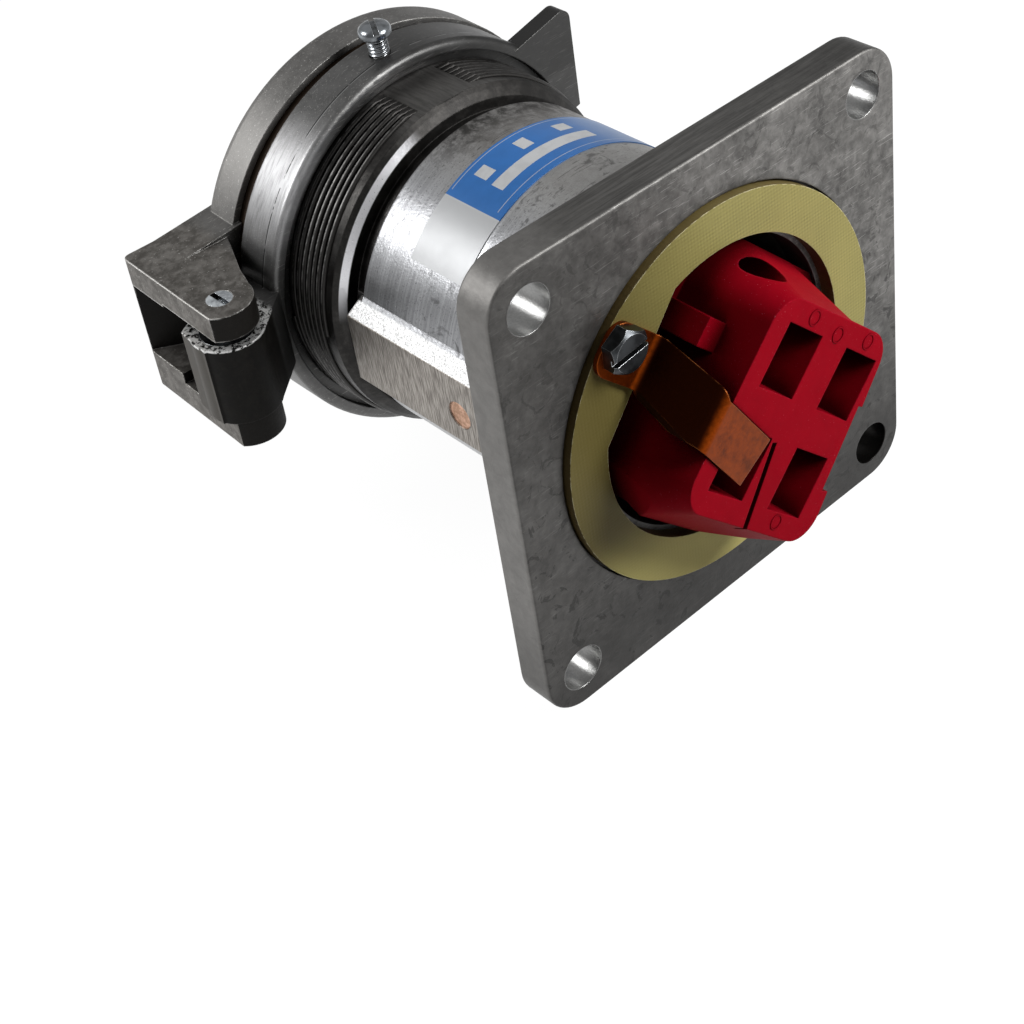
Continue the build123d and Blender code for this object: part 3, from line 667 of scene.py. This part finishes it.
def door_metal(name, metal):
    """Cast door: grey rim with pale specks and a painted highlight; the fork is dark brown-grey,
    painted black as shade in its window and at its back, with a bright worn edge
    """
    finish = Finish(name, Specular_IOR_Level=0.12)
    side, up = finish.axis("X"), finish.axis("Z")
    skin, mottle, edge = cast_skin(finish, metal, metal.door_tone, contrast=0.45, nicks=0.9)
    # Painted highlight: lighter on the rim from 30 to 56 degrees round the axis
    lightened = finish.round_axis().band(30, 56, 12) * finish.from_axis().rise(34, 42)
    skin = finish.mix(lightened * 0.5, skin, tinted(metal.door_tone, 2.2))
    # Fork: painted black as shade in its window and at its back
    fork = side.rise(FORK_SIDE, FORK_SIDE + 4)
    brown = finish.mix(mottle.rise(0.35, 0.7), (0.100, 0.093, 0.084), (0.230, 0.218, 0.203))
    back = (1 - finish.faces("Z").rise(0.3, 0.7)) * finish.faces("Y").rise(0.2, 0.5)
    window = 1 - finish.faces("X").size().rise(0.9, 0.97)
    window = window * (1 - finish.faces("Z").size().rise(0.3, 0.7))
    fork_painted_shade = back.or_more(window)
    brown = finish.mix(fork_painted_shade * 0.97, brown, (0.006, 0.005, 0.004))
    outer_edge = finish.edges(0.7 * MM) * side.rise(57, 58) * up.rise(6, 7)
    brown = finish.mix((edge * 0.8).or_more(outer_edge * 0.9), brown, tinted(metal.worn, 1.5))
    colour = finish.mix(fork, skin, brown)
    specks = finish.noise(0.55 * MM, detail=2, roughness=0.6).rise(0.66, 0.70)
    colour = finish.mix(specks * (1 - fork_painted_shade * fork) * 0.5, colour, metal.worn)
    finish.set("Metallic", 0.8 - 0.75 * fork * fork_painted_shade)
    return finish.done(
        colour,
        0.46 + 0.12 * mottle - 0.08 * edge,
        cast_bump(finish, metal, mottle, 0.055 * MM),
    )


def greasy_thread(name, metal):
    """Thread of the collar: black between the turns, bare on the crests, with a painted highlight
    on them from 10 to 75 degrees either side of +X
    """
    finish = Finish(name, Metallic=0.7, Specular_IOR_Level=0.5)
    top = metal.thread_crest / MM
    crest = finish.from_axis().rise(top - 0.22, top - 0.06)
    worn = finish.noise(1.8 * MM, detail=4, roughness=0.7)
    colour = finish.mix(worn, metal.thread_tone, tinted(metal.thread_tone, 2.0))
    # The bare crests are brighter where the light falls: painted highlight
    lit = finish.round_axis().size().band(10, 75, 14)
    bare = crest * worn.rise(0.3, 0.62) * (0.25 + 0.55 * lit)
    colour = finish.mix(bare, colour, (0.26, 0.255, 0.25))
    return finish.done(colour, 0.38 + 0.14 * worn, finish.bump(worn, 0.03 * MM))


def moulded_red(name, plastics):
    """Moulded red plastic: satin, with faint flow marks and paler rubbed edges"""
    finish = Finish(name, Specular_IOR_Level=0.015)
    flow = finish.noise(9 * MM, detail=3, distortion=1.2)
    fine = finish.noise(0.6 * MM, detail=4, roughness=0.6)
    dust = finish.noise(0.35 * MM, detail=2).rise(0.70, 0.73)
    level = flow * 0.7 + fine * 0.3
    colour = finish.mix(level, tinted(plastics.red, 0.72), tinted(plastics.red, 1.12))
    lightened = finish.edges(0.3 * MM) * fine.rise(0.4, 0.6)
    colour = finish.mix(lightened * 0.35, colour, (0.42, 0.02, 0.05))
    colour = finish.mix(dust * 0.35, colour, (0.50, 0.16, 0.20))
    shade = finish.hollows(8 * MM).rise(0.04, 0.42)
    colour = finish.mix(shade * 0.93, colour, tinted(plastics.red, 0.10))
    return finish.done(
        colour,
        0.44 + 0.2 * fine,
        finish.bump(fine, 0.02 * MM, normal=finish.soft_edge(0.4 * MM)),
    )


def woven_laminate(name, plastics):
    """Laminate of woven glass cloth and resin: fine crossed lines, browner cut edges"""
    finish = Finish(name, Specular_IOR_Level=0.12)
    side, up = finish.axis("X"), finish.axis("Z")
    turns = 2 * math.pi / (plastics.weave / MM)
    uneven = finish.noise(1.6 * MM, detail=3)
    cloth = (side * turns).sine() * 0.35 + (up * turns).sine() * 0.65
    cloth = cloth * uneven.rise(0.2, 0.8)
    cloud = finish.noise(12 * MM, detail=4, roughness=0.6)
    level = 0.5 + 0.5 * cloth + 0.7 * (cloud - 0.5)
    colour = finish.mix(level, tinted(plastics.laminate, 0.70), tinted(plastics.laminate, 1.14))
    # Darker towards +X and towards the top
    darker_to_plus_x_and_top = side.rise(-6, 30) * up.rise(-34, -14)
    colour = finish.mix(darker_to_plus_x_and_top * 0.9, colour, (0.092, 0.072, 0.020))
    paler = 1 - up.rise(-30, -12)
    colour = finish.mix(paler * 0.7, colour, tinted(plastics.laminate, 1.7))
    cut = 1 - finish.faces("Y").size().rise(0.3, 0.7)
    colour = finish.mix(cut * 0.75, colour, (0.085, 0.055, 0.022))
    frayed = finish.edges(0.3 * MM) * uneven.rise(0.40, 0.55)
    colour = finish.mix(frayed * 0.8, colour, (0.60, 0.55, 0.36))
    return finish.done(
        colour,
        0.44 + 0.12 * cloud,
        finish.bump(cloth, 0.018 * MM, normal=finish.soft_edge(0.2 * MM)),
    )


def bare_copper(name, metals):
    """Copper: bright at the strap's free end; its bent riser painted near black as shade and dark
    reflection, with brown stains elsewhere
    """
    finish = Finish(name, Metallic=1.0)
    stain = finish.noise(4 * MM, detail=5, roughness=0.65)
    fine = finish.noise(0.6 * MM, detail=3)
    # The riser is painted near black as shade and dark reflection; elsewhere random stains are real
    # tarnish
    riser_painted_shade = finish.axis("Y").band(*STRAP_RISER, 0.5)
    darkened = riser_painted_shade * 0.95 + (1 - riser_painted_shade) * stain.rise(0.45, 0.75) * 0.55
    rolled = finish.mix(fine.rise(0.3, 0.7), tinted(metals.copper, 0.75), metals.copper)
    colour = finish.mix(darkened, rolled, metals.tarnish_and_shade)
    bare = finish.edges(0.25 * MM) * stain.rise(0.4, 0.6)
    colour = finish.mix(bare * 0.6, colour, (0.50, 0.17, 0.05))
    return finish.done(
        colour,
        0.36 + 0.16 * fine,
        finish.bump(fine, 0.015 * MM, normal=finish.soft_edge(0.3 * MM)),
    )


def pressed_copper(name, metals):
    """End of the locating pin: dull pinkish copper with a dark rim"""
    finish = Finish(name, Metallic=0.6)
    stain = finish.noise(1.2 * MM, detail=4, roughness=0.65)
    colour = finish.mix(stain.rise(0.35, 0.65), (0.43, 0.235, 0.14), (0.76, 0.47, 0.33))
    colour = finish.mix(finish.edges(0.3 * MM) * 0.6, colour, (0.10, 0.045, 0.025))
    return finish.done(
        colour,
        0.42,
        finish.bump(stain, 0.05 * MM, normal=finish.soft_edge(0.5 * MM)),
    )


def plated_steel(name, metals, gain=1.0):
    """Zinc-plated steel: bright or greyed, uneven, with painted shade in its hollows and lighter
    edges
    """
    finish = Finish(name, Metallic=1.0)
    fine = finish.noise(2.5 * MM, detail=3)
    light, dark = tinted(metals.plating, gain), tinted(metals.plating, gain * 0.45)
    colour = finish.mix(fine.rise(0.35, 0.65), dark, light)
    # Painted shade in slots, thread roots and other hollows
    hollow_shade = finish.hollows(1.1 * MM).rise(0.22, 0.5)
    colour = finish.mix(hollow_shade * 0.9, colour, (0.012, 0.011, 0.009))
    colour = finish.mix(finish.edges(0.2 * MM) * 0.6, colour, (0.80, 0.82, 0.84))
    return finish.done(
        colour,
        max(0.34 - 0.16 * gain, 0.1) + 0.12 * fine,
        finish.bump(fine, 0.015 * MM, normal=finish.soft_edge(0.12 * MM)),
    )


def soft_rubber(name, plastics):
    """Rubber: dark and matt, with a fine skin"""
    finish = Finish(name, Specular_IOR_Level=0.25)
    fine = finish.noise(1.2 * MM, detail=4)
    return finish.done(
        finish.mix(fine, plastics.rubber, tinted(plastics.rubber, 1.9)),
        0.62 + 0.2 * fine,
        finish.bump(fine, 0.05 * MM),
    )


def printed_foil(name, label):
    """Foil label: a printed field with plain boxes and ruled lines, unprinted at its near end"""
    finish = Finish(name, Specular_IOR_Level=0.5, Metallic=0.2)
    along, angle = finish.axis("Y"), finish.round_axis()
    field_start = math.degrees(label.field_start)
    printed = angle.rise(field_start - 0.1, field_start + 0.1)
    for start, end, low, high in FOIL_BOXES:
        inside = (angle > start) * (angle < end) * (along > low) * (along < high)
        printed = printed * (1 - inside)
    wear = finish.noise(3 * MM, detail=4)
    field = finish.mix(wear, tinted(label.field, 0.75), label.field)
    first, second = (along.band(line - 0.1, line + 0.1, 0.03) for line in FOIL_LINES)
    ruled = (first + second) * (angle > 63) * (angle < 140)
    field = finish.mix(ruled * 0.6, field, label.paper)
    greyed = angle.rise(88, 125) * 0.45
    field = finish.mix(greyed, field, (0.10, 0.16, 0.24))
    dirt = wear.rise(0.4, 0.7) * 0.4 + greyed
    paper = finish.mix(dirt, label.paper, tinted(label.paper, 0.72))
    paper = finish.mix(1 - angle.rise(60, 61), paper, (0.53, 0.54, 0.55))
    return finish.done(
        finish.mix(printed, paper, field),
        0.30 + 0.12 * wear,
        finish.bump(wear, 0.02 * MM),
    )


def select_only(*objects):
    """Leaves only these objects selected, the last one active"""
    bpy.ops.object.select_all(action="DESELECT")
    for item in objects:
        item.select_set(True)
        bpy.context.view_layer.objects.active = item


def dress(node, material):
    """Gives a node of the frame its material"""
    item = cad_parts[node]
    for slot in item.material_slots:
        slot.material = material


def keep(name, body, material):
    """Finishes the active object: place into the mesh, name, material and body"""
    item = bpy.context.object
    select_only(item)
    bpy.ops.object.transform_apply(location=True, rotation=True, scale=True)
    item.name = name
    item.data.materials.clear()
    item.data.materials.append(material)
    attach(item, body)
    return item


def wind(name, outline, steps, pitch=0.0, turns=1):
    """Adds what a closed outline of (radius, height) points sweeps round the local Z axis.
    The pitch is the rise of one turn."""
    bpy.ops.object.select_all(action="DESELECT")
    bpy.ops.mesh.primitive_circle_add(vertices=len(outline), radius=1, location=(0, 0, 0))
    swept = bpy.context.object
    swept.name = name
    for vertex, (radius, height) in zip(swept.data.vertices, outline):
        vertex.co = (radius, 0, height)
    screw = swept.modifiers.new("Wind", "SCREW")
    screw.axis = "Z"
    screw.angle = math.tau
    screw.screw_offset = pitch
    screw.iterations = turns
    screw.steps = steps
    screw.render_steps = steps
    screw.use_merge_vertices = pitch == 0
    screw.merge_threshold = MERGE
    select_only(swept)
    bpy.ops.object.modifier_apply(modifier="Wind")
    bpy.ops.object.mode_set(mode="EDIT")
    bpy.ops.mesh.select_all(action="SELECT")
    bpy.ops.mesh.remove_doubles(threshold=MERGE)
    bpy.ops.mesh.delete_loose()
    bpy.ops.mesh.select_all(action="SELECT")
    bpy.ops.mesh.normals_make_consistent(inside=False)
    bpy.ops.object.mode_set(mode="OBJECT")
    return swept


def wind_thread(name, root, crest, pitch, turns, steps, start=0.0):
    """Adds a thread's ridge round the local Z axis"""
    outline = [(root, start), (crest, start + pitch / 2), (root, start + pitch * 0.96)]
    return wind(name, outline, steps, pitch, turns)


def scaled(outline, radius, height):
    """The outline with its shares of radius and height made into lengths"""
    return [(radius * out, height * up) for out, up in outline]


def carve(item, tool, operation):
    """Cuts the tool away from the item, or keeps what lies in both"""
    change = item.modifiers.new("Carve", "BOOLEAN")
    change.operation = operation
    change.object = tool
    select_only(item)
    bpy.ops.object.modifier_apply(modifier="Carve")
    select_only(tool)
    bpy.ops.object.delete()
    select_only(item)


def slot_head(head, top, depth, width, turn):
    """Cuts a driver's slot into the top of a screw's head"""
    bpy.ops.object.select_all(action="DESELECT")
    bpy.ops.mesh.primitive_cube_add(size=1, location=(0, 0, top), rotation=(0, 0, turn))
    tool = bpy.context.object
    tool.scale = (20 * MM, width, depth * 2)
    select_only(tool)
    bpy.ops.object.transform_apply(location=True, rotation=True, scale=True)
    carve(head, tool, "DIFFERENCE")


def cut_mesh(item, place, normal):
    """Cuts an object at a plane, closes it and drops what lies beyond"""
    select_only(item)
    bpy.ops.object.mode_set(mode="EDIT")
    bpy.ops.mesh.select_all(action="SELECT")
    bpy.ops.mesh.bisect(plane_co=place, plane_no=normal, use_fill=True, clear_outer=True)
    bpy.ops.object.mode_set(mode="OBJECT")


class RECEPTACLE_OT_castings(bpy.types.Operator):
    """Finish the housing, the ring and the door"""

    bl_idname = "receptacle.castings"
    bl_label = "Castings"

    def execute(self, context):
        metal = context.scene.receptacle_metal
        dress("housing", housing_metal("Housing metal", metal))
        dress("door_ring", ring_metal("Ring metal", metal))
        dress("spring_door", door_metal("Door metal", metal))
        return {"FINISHED"}


class RECEPTACLE_OT_collar_thread(bpy.types.Operator):
    """Wind the thread round the collar, cut by the flat on its top"""

    bl_idname = "receptacle.collar_thread"
    bl_label = "Collar thread"

    def execute(self, context):
        metal = context.scene.receptacle_metal
        root, crest, pitch = THREAD_ROOT - 0.1 * MM, metal.thread_crest, metal.thread_pitch
        ridge = wind_thread("Collar thread", root, crest, pitch, THREAD_TURNS, 192)
        ridge.rotation_euler = (math.radians(90), 0, 0)
        ridge.location = (0, THREAD_START, 0)
        grease = greasy_thread("Thread metal", metal)
        thread = keep("collar_thread", "receptacle", grease)
        cut_mesh(thread, (0, 0, THREAD_FLAT), (0, 0, 1))
        return {"FINISHED"}


class RECEPTACLE_OT_plastics(bpy.types.Operator):
    """Finish the insulators, the washer, the gasket and the seal"""

    bl_idname = "receptacle.plastics"
    bl_label = "Plastics"

    def execute(self, context):
        plastics = context.scene.receptacle_plastics
        red = moulded_red("Red plastic", plastics)
        dress("insulator_rear", red)
        dress("insulator_front", red)
        dress("insulating_washer", woven_laminate("Laminate", plastics))
        rubber = soft_rubber("Gasket rubber", plastics)
        dress("door_gasket", rubber)
        dress("ring_seal", rubber)
        return {"FINISHED"}


class RECEPTACLE_OT_face_marks(bpy.types.Operator):
    """Raise the small moulding rings beside the insulator's cavities"""

    bl_idname = "receptacle.face_marks"
    bl_label = "Face marks"

    def execute(self, context):
        plastics = context.scene.receptacle_plastics
        rings = []
        for rising, falling in MARKS:
            place = Vector((rising + falling, 0, rising - falling)) * MM / math.sqrt(2)
            place.y = INSULATOR[1][1]
            bpy.ops.object.select_all(action="DESELECT")
            bpy.ops.mesh.primitive_torus_add(
                location=place,
                rotation=(math.radians(90), 0, 0),
                major_radius=plastics.mark_radius,
                minor_radius=plastics.mark_bead,
                major_segments=32,
                minor_segments=8,
            )
            rings.append(bpy.context.object)
        select_only(*rings)
        bpy.ops.object.join()
        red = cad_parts["insulator_rear"].material_slots[0].material
        keep("face_marks", "receptacle", red)
        bpy.ops.object.shade_smooth()
        return {"FINISHED"}


class RECEPTACLE_OT_hardware(bpy.types.Operator):
    """Finish the strap, the pins, the hidden screws and the spring"""

    bl_idname = "receptacle.hardware"
    bl_label = "Hardware"

    def execute(self, context):
        metals = context.scene.receptacle_metals
        dress("ground_strap", bare_copper("Copper", metals))
        dress("locating_pin", pressed_copper("Pin copper", metals))
        steel = plated_steel("Zinc plating", metals)
        inside = ("insulator_screw", "gasket_plate", "gasket_screw", "hinge_bush", "door_spring")
        for node in inside:
            dress(node, steel)
        dress("hinge_pin", plated_steel("Bright plating", metals, 3.0))
        return {"FINISHED"}


class RECEPTACLE_OT_screws(bpy.types.Operator):
    """Model the ring's pan-head screw, with its thread, and the strap's slotted hexagon screw"""

    bl_idname = "receptacle.screws"
    bl_label = "Screws"

    def ring_screw(self, metals, root, steel):
        """Pan-head screw whose thread shows, because it stands partly out of the ring"""
        length, height = RING_SCREW_LENGTH, metals.pan_height
        head = wind("Ring screw", scaled(PAN_HEAD, metals.pan_radius, height), 48)
        slot_head(head, height, height * 0.5, metals.slot_width, RING_SCREW_TURN)
        core = [(0, -length), (root, -length), (root, 0.1 * MM), (0, 0.1 * MM)]
        shank = wind("Shank", core, 32)
        foot, crest, pitch = root - 0.05 * MM, metals.screw_radius, metals.screw_pitch
        ridge = wind_thread("Ridge", foot, crest, pitch, int(length / pitch), 32, -length)
        select_only(shank, ridge, head)
        bpy.ops.object.join()
        angle, seat = RING_SCREW_ANGLE, RING_SCREW_SEAT
        head.rotation_euler = (0, math.radians(90) - angle, 0)
        head.location = (seat * math.cos(angle), RING_SCREW_PLACE, seat * math.sin(angle))
        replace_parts(keep("ring_screw_threaded", "receptacle", steel), "ring_screw")
        bpy.ops.object.shade_smooth_by_angle(angle=SMOOTH_ANGLE)

    def ground_screw(self, metals, root, steel):
        """Slotted hexagon-head screw that stands on the strap"""
        low, high = GROUND_SCREW
        radius, height = metals.hexagon_radius, metals.hexagon_height
        bpy.ops.object.select_all(action="DESELECT")
        bpy.ops.mesh.primitive_cylinder_add(
            vertices=6, radius=radius, depth=height, location=(0, 0, height / 2)
        )
        head = bpy.context.object
        select_only(head)
        bpy.ops.object.transform_apply(location=True, rotation=True, scale=True)
        carve(head, wind("Crown", scaled(HEXAGON_CROWN, radius, height), 64), "INTERSECT")
        slot_head(head, height, height * 0.34, metals.slot_width, GROUND_SCREW_TURN)
        length = high[1] - low[1] - height
        core = [
            (0, -length),
            (root, -length),
            (metals.screw_radius, -length + 0.4 * MM),
            (metals.screw_radius, 0.1 * MM),
            (0, 0.1 * MM),
        ]
        shank = wind("Shank", core, 32)
        select_only(shank, head)
        bpy.ops.object.join()
        head.rotation_euler = (math.radians(-90), 0, 0)
        head.location = ((low[0] + high[0]) / 2, high[1] - height, (low[2] + high[2]) / 2)
        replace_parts(keep("ground_screw_slotted", "receptacle", steel), "ground_screw")
        bpy.ops.object.shade_smooth_by_angle(angle=SMOOTH_ANGLE)

    def execute(self, context):
        metals = context.scene.receptacle_metals
        steel = plated_steel("Screw plating", metals)
        greyed = plated_steel("Greyed plating", metals, 0.24)
        root = metals.screw_radius - metals.thread_depth
        self.ring_screw(metals, root, steel)
        self.ground_screw(metals, root, greyed)
        return {"FINISHED"}


class RECEPTACLE_OT_nameplate(bpy.types.Operator):
    """Print the foil's field and its bare boxes"""

    bl_idname = "receptacle.nameplate"
    bl_label = "Nameplate"

    def execute(self, context):
        dress("nameplate_foil", printed_foil("Foil", context.scene.receptacle_label))
        return {"FINISHED"}


class RECEPTACLE_OT_stage(bpy.types.Operator):
    """Add the floor, the lights and the camera"""

    bl_idname = "receptacle.stage"
    bl_label = "Stage"

    def floor(self, size, strength):
        """A pale floor that the camera and reflections see brighter than it lights the object"""
        bpy.ops.object.select_all(action="DESELECT")
        bpy.ops.mesh.primitive_plane_add(size=size, location=(0, 0, CAD_BOX[0][2] - 0.1 * MM))
        ground = bpy.context.object
        ground.name = "floor"
        finish = Finish("Floor", Roughness=0.9, Specular_IOR_Level=0.0)
        finish.set("Base Color", (0.60, 0.60, 0.60))
        rays = [finish.node("ShaderNodeLightPath", {}, {}, ray) for ray in SEEN_RAYS]
        seen = rays[0].or_more(rays[1]).or_more(rays[2])
        white = finish.node("ShaderNodeEmission", {}, {"Color": (1, 1, 1), "Strength": strength})
        painted = Wire(finish, finish.shader.outputs[0])
        blend = finish.node("ShaderNodeMixShader", {}, {0: seen * 0.8, 1: painted, 2: white})
        finish.feed(finish.tree.nodes["Material Output"].inputs["Surface"], blend)
        ground.data.materials.append(finish.material)

    def lamp(self, name, place, size, power):
        """A round lamp that shines at the object"""
        bpy.ops.object.select_all(action="DESELECT")
        bpy.ops.object.light_add(type="AREA", location=place)
        light = bpy.context.object
        light.name = name
        light.data.shape = "DISK"
        light.data.size = size
        light.data.energy = power
        light.rotation_mode = "QUATERNION"
        light.rotation_quaternion = (-Vector(place)).to_track_quat("-Z", "Y")

    def sky(self, strength, seen):
        """Light from all round: pale where the camera or a reflection sees it"""
        world = bpy.data.worlds.new("Room")
        bpy.context.scene.world = world
        world.use_nodes = True
        tree = world.node_tree
        fill, pale = tree.nodes["Background"], tree.nodes.new("ShaderNodeBackground")
        for background, value in ((fill, strength), (pale, seen)):
            background.inputs["Color"].default_value = (1, 1, 1, 1)
            background.inputs["Strength"].default_value = value
        rays = tree.nodes.new("ShaderNodeLightPath")
        either = rays.outputs[SEEN_RAYS[0]]
        for ray in SEEN_RAYS[1:]:
            larger = tree.nodes.new("ShaderNodeMath")
            larger.operation = "MAXIMUM"
            tree.links.new(either, larger.inputs[0])
            tree.links.new(rays.outputs[ray], larger.inputs[1])
            either = larger.outputs[0]
        blend = tree.nodes.new("ShaderNodeMixShader")
        for socket, source in zip(blend.inputs, (either, fill.outputs[0], pale.outputs[0])):
            tree.links.new(source, socket)
        tree.links.new(blend.outputs[0], tree.nodes["World Output"].inputs["Surface"])

    def execute(self, context):
        stage = context.scene.receptacle_stage
        self.floor(stage.floor_size, stage.floor_seen)
        self.lamp("Key", stage.key_place, stage.key_size, stage.key)
        self.lamp("Side", stage.side_place, stage.side_size, stage.side)
        self.sky(stage.room, stage.room_seen)
        bpy.ops.object.select_all(action="DESELECT")
        bpy.ops.object.camera_add(location=stage.camera_place, rotation=stage.camera_turn)
        camera = bpy.context.object
        camera.name = "camera"
        camera.data.lens = stage.focal_length
        camera.data.sensor_width = 36
        camera.data.shift_x, camera.data.shift_y = stage.shift
        camera.data.clip_start = 0.01
        context.scene.camera = camera
        context.scene.view_settings.view_transform = "Standard"
        return {"FINISHED"}


class RECEPTACLE_PT_panel(bpy.types.Panel):
    """Settings of the finishes and the stage, and a button for each group of pieces"""

    bl_label = "Receptacle"
    bl_idname = "RECEPTACLE_PT_panel"
    bl_space_type = "VIEW_3D"
    bl_region_type = "UI"
    bl_category = "Receptacle"

    def draw(self, context):
        for group in GROUPS:
            settings = getattr(context.scene, group)
            column = self.layout.column()
            for name in settings.__annotations__:
                column.prop(settings, name)
        for operator in OPERATORS:
            self.layout.operator(operator.bl_idname)


GROUPS = {
    "receptacle_metal": CastMetal,
    "receptacle_plastics": Plastics,
    "receptacle_metals": Metals,
    "receptacle_label": Label,
    "receptacle_stage": Stage,
}
OPERATORS = [
    RECEPTACLE_OT_castings,
    RECEPTACLE_OT_collar_thread,
    RECEPTACLE_OT_plastics,
    RECEPTACLE_OT_face_marks,
    RECEPTACLE_OT_hardware,
    RECEPTACLE_OT_screws,
    RECEPTACLE_OT_nameplate,
    RECEPTACLE_OT_stage,
]


def register():
    for item in (*GROUPS.values(), *OPERATORS, RECEPTACLE_PT_panel):
        bpy.utils.register_class(item)
    for name, group in GROUPS.items():
        setattr(bpy.types.Scene, name, PointerProperty(type=group))


def unregister():
    for name in GROUPS:
        delattr(bpy.types.Scene, name)
    for item in reversed((*GROUPS.values(), *OPERATORS, RECEPTACLE_PT_panel)):
        bpy.utils.unregister_class(item)


def main():
    register()
    bpy.ops.receptacle.castings()
    bpy.ops.receptacle.collar_thread()
    bpy.ops.receptacle.plastics()
    bpy.ops.receptacle.face_marks()
    bpy.ops.receptacle.hardware()
    bpy.ops.receptacle.screws()
    bpy.ops.receptacle.nameplate()
    bpy.ops.receptacle.stage()


if __name__ == "__main__":
    main()
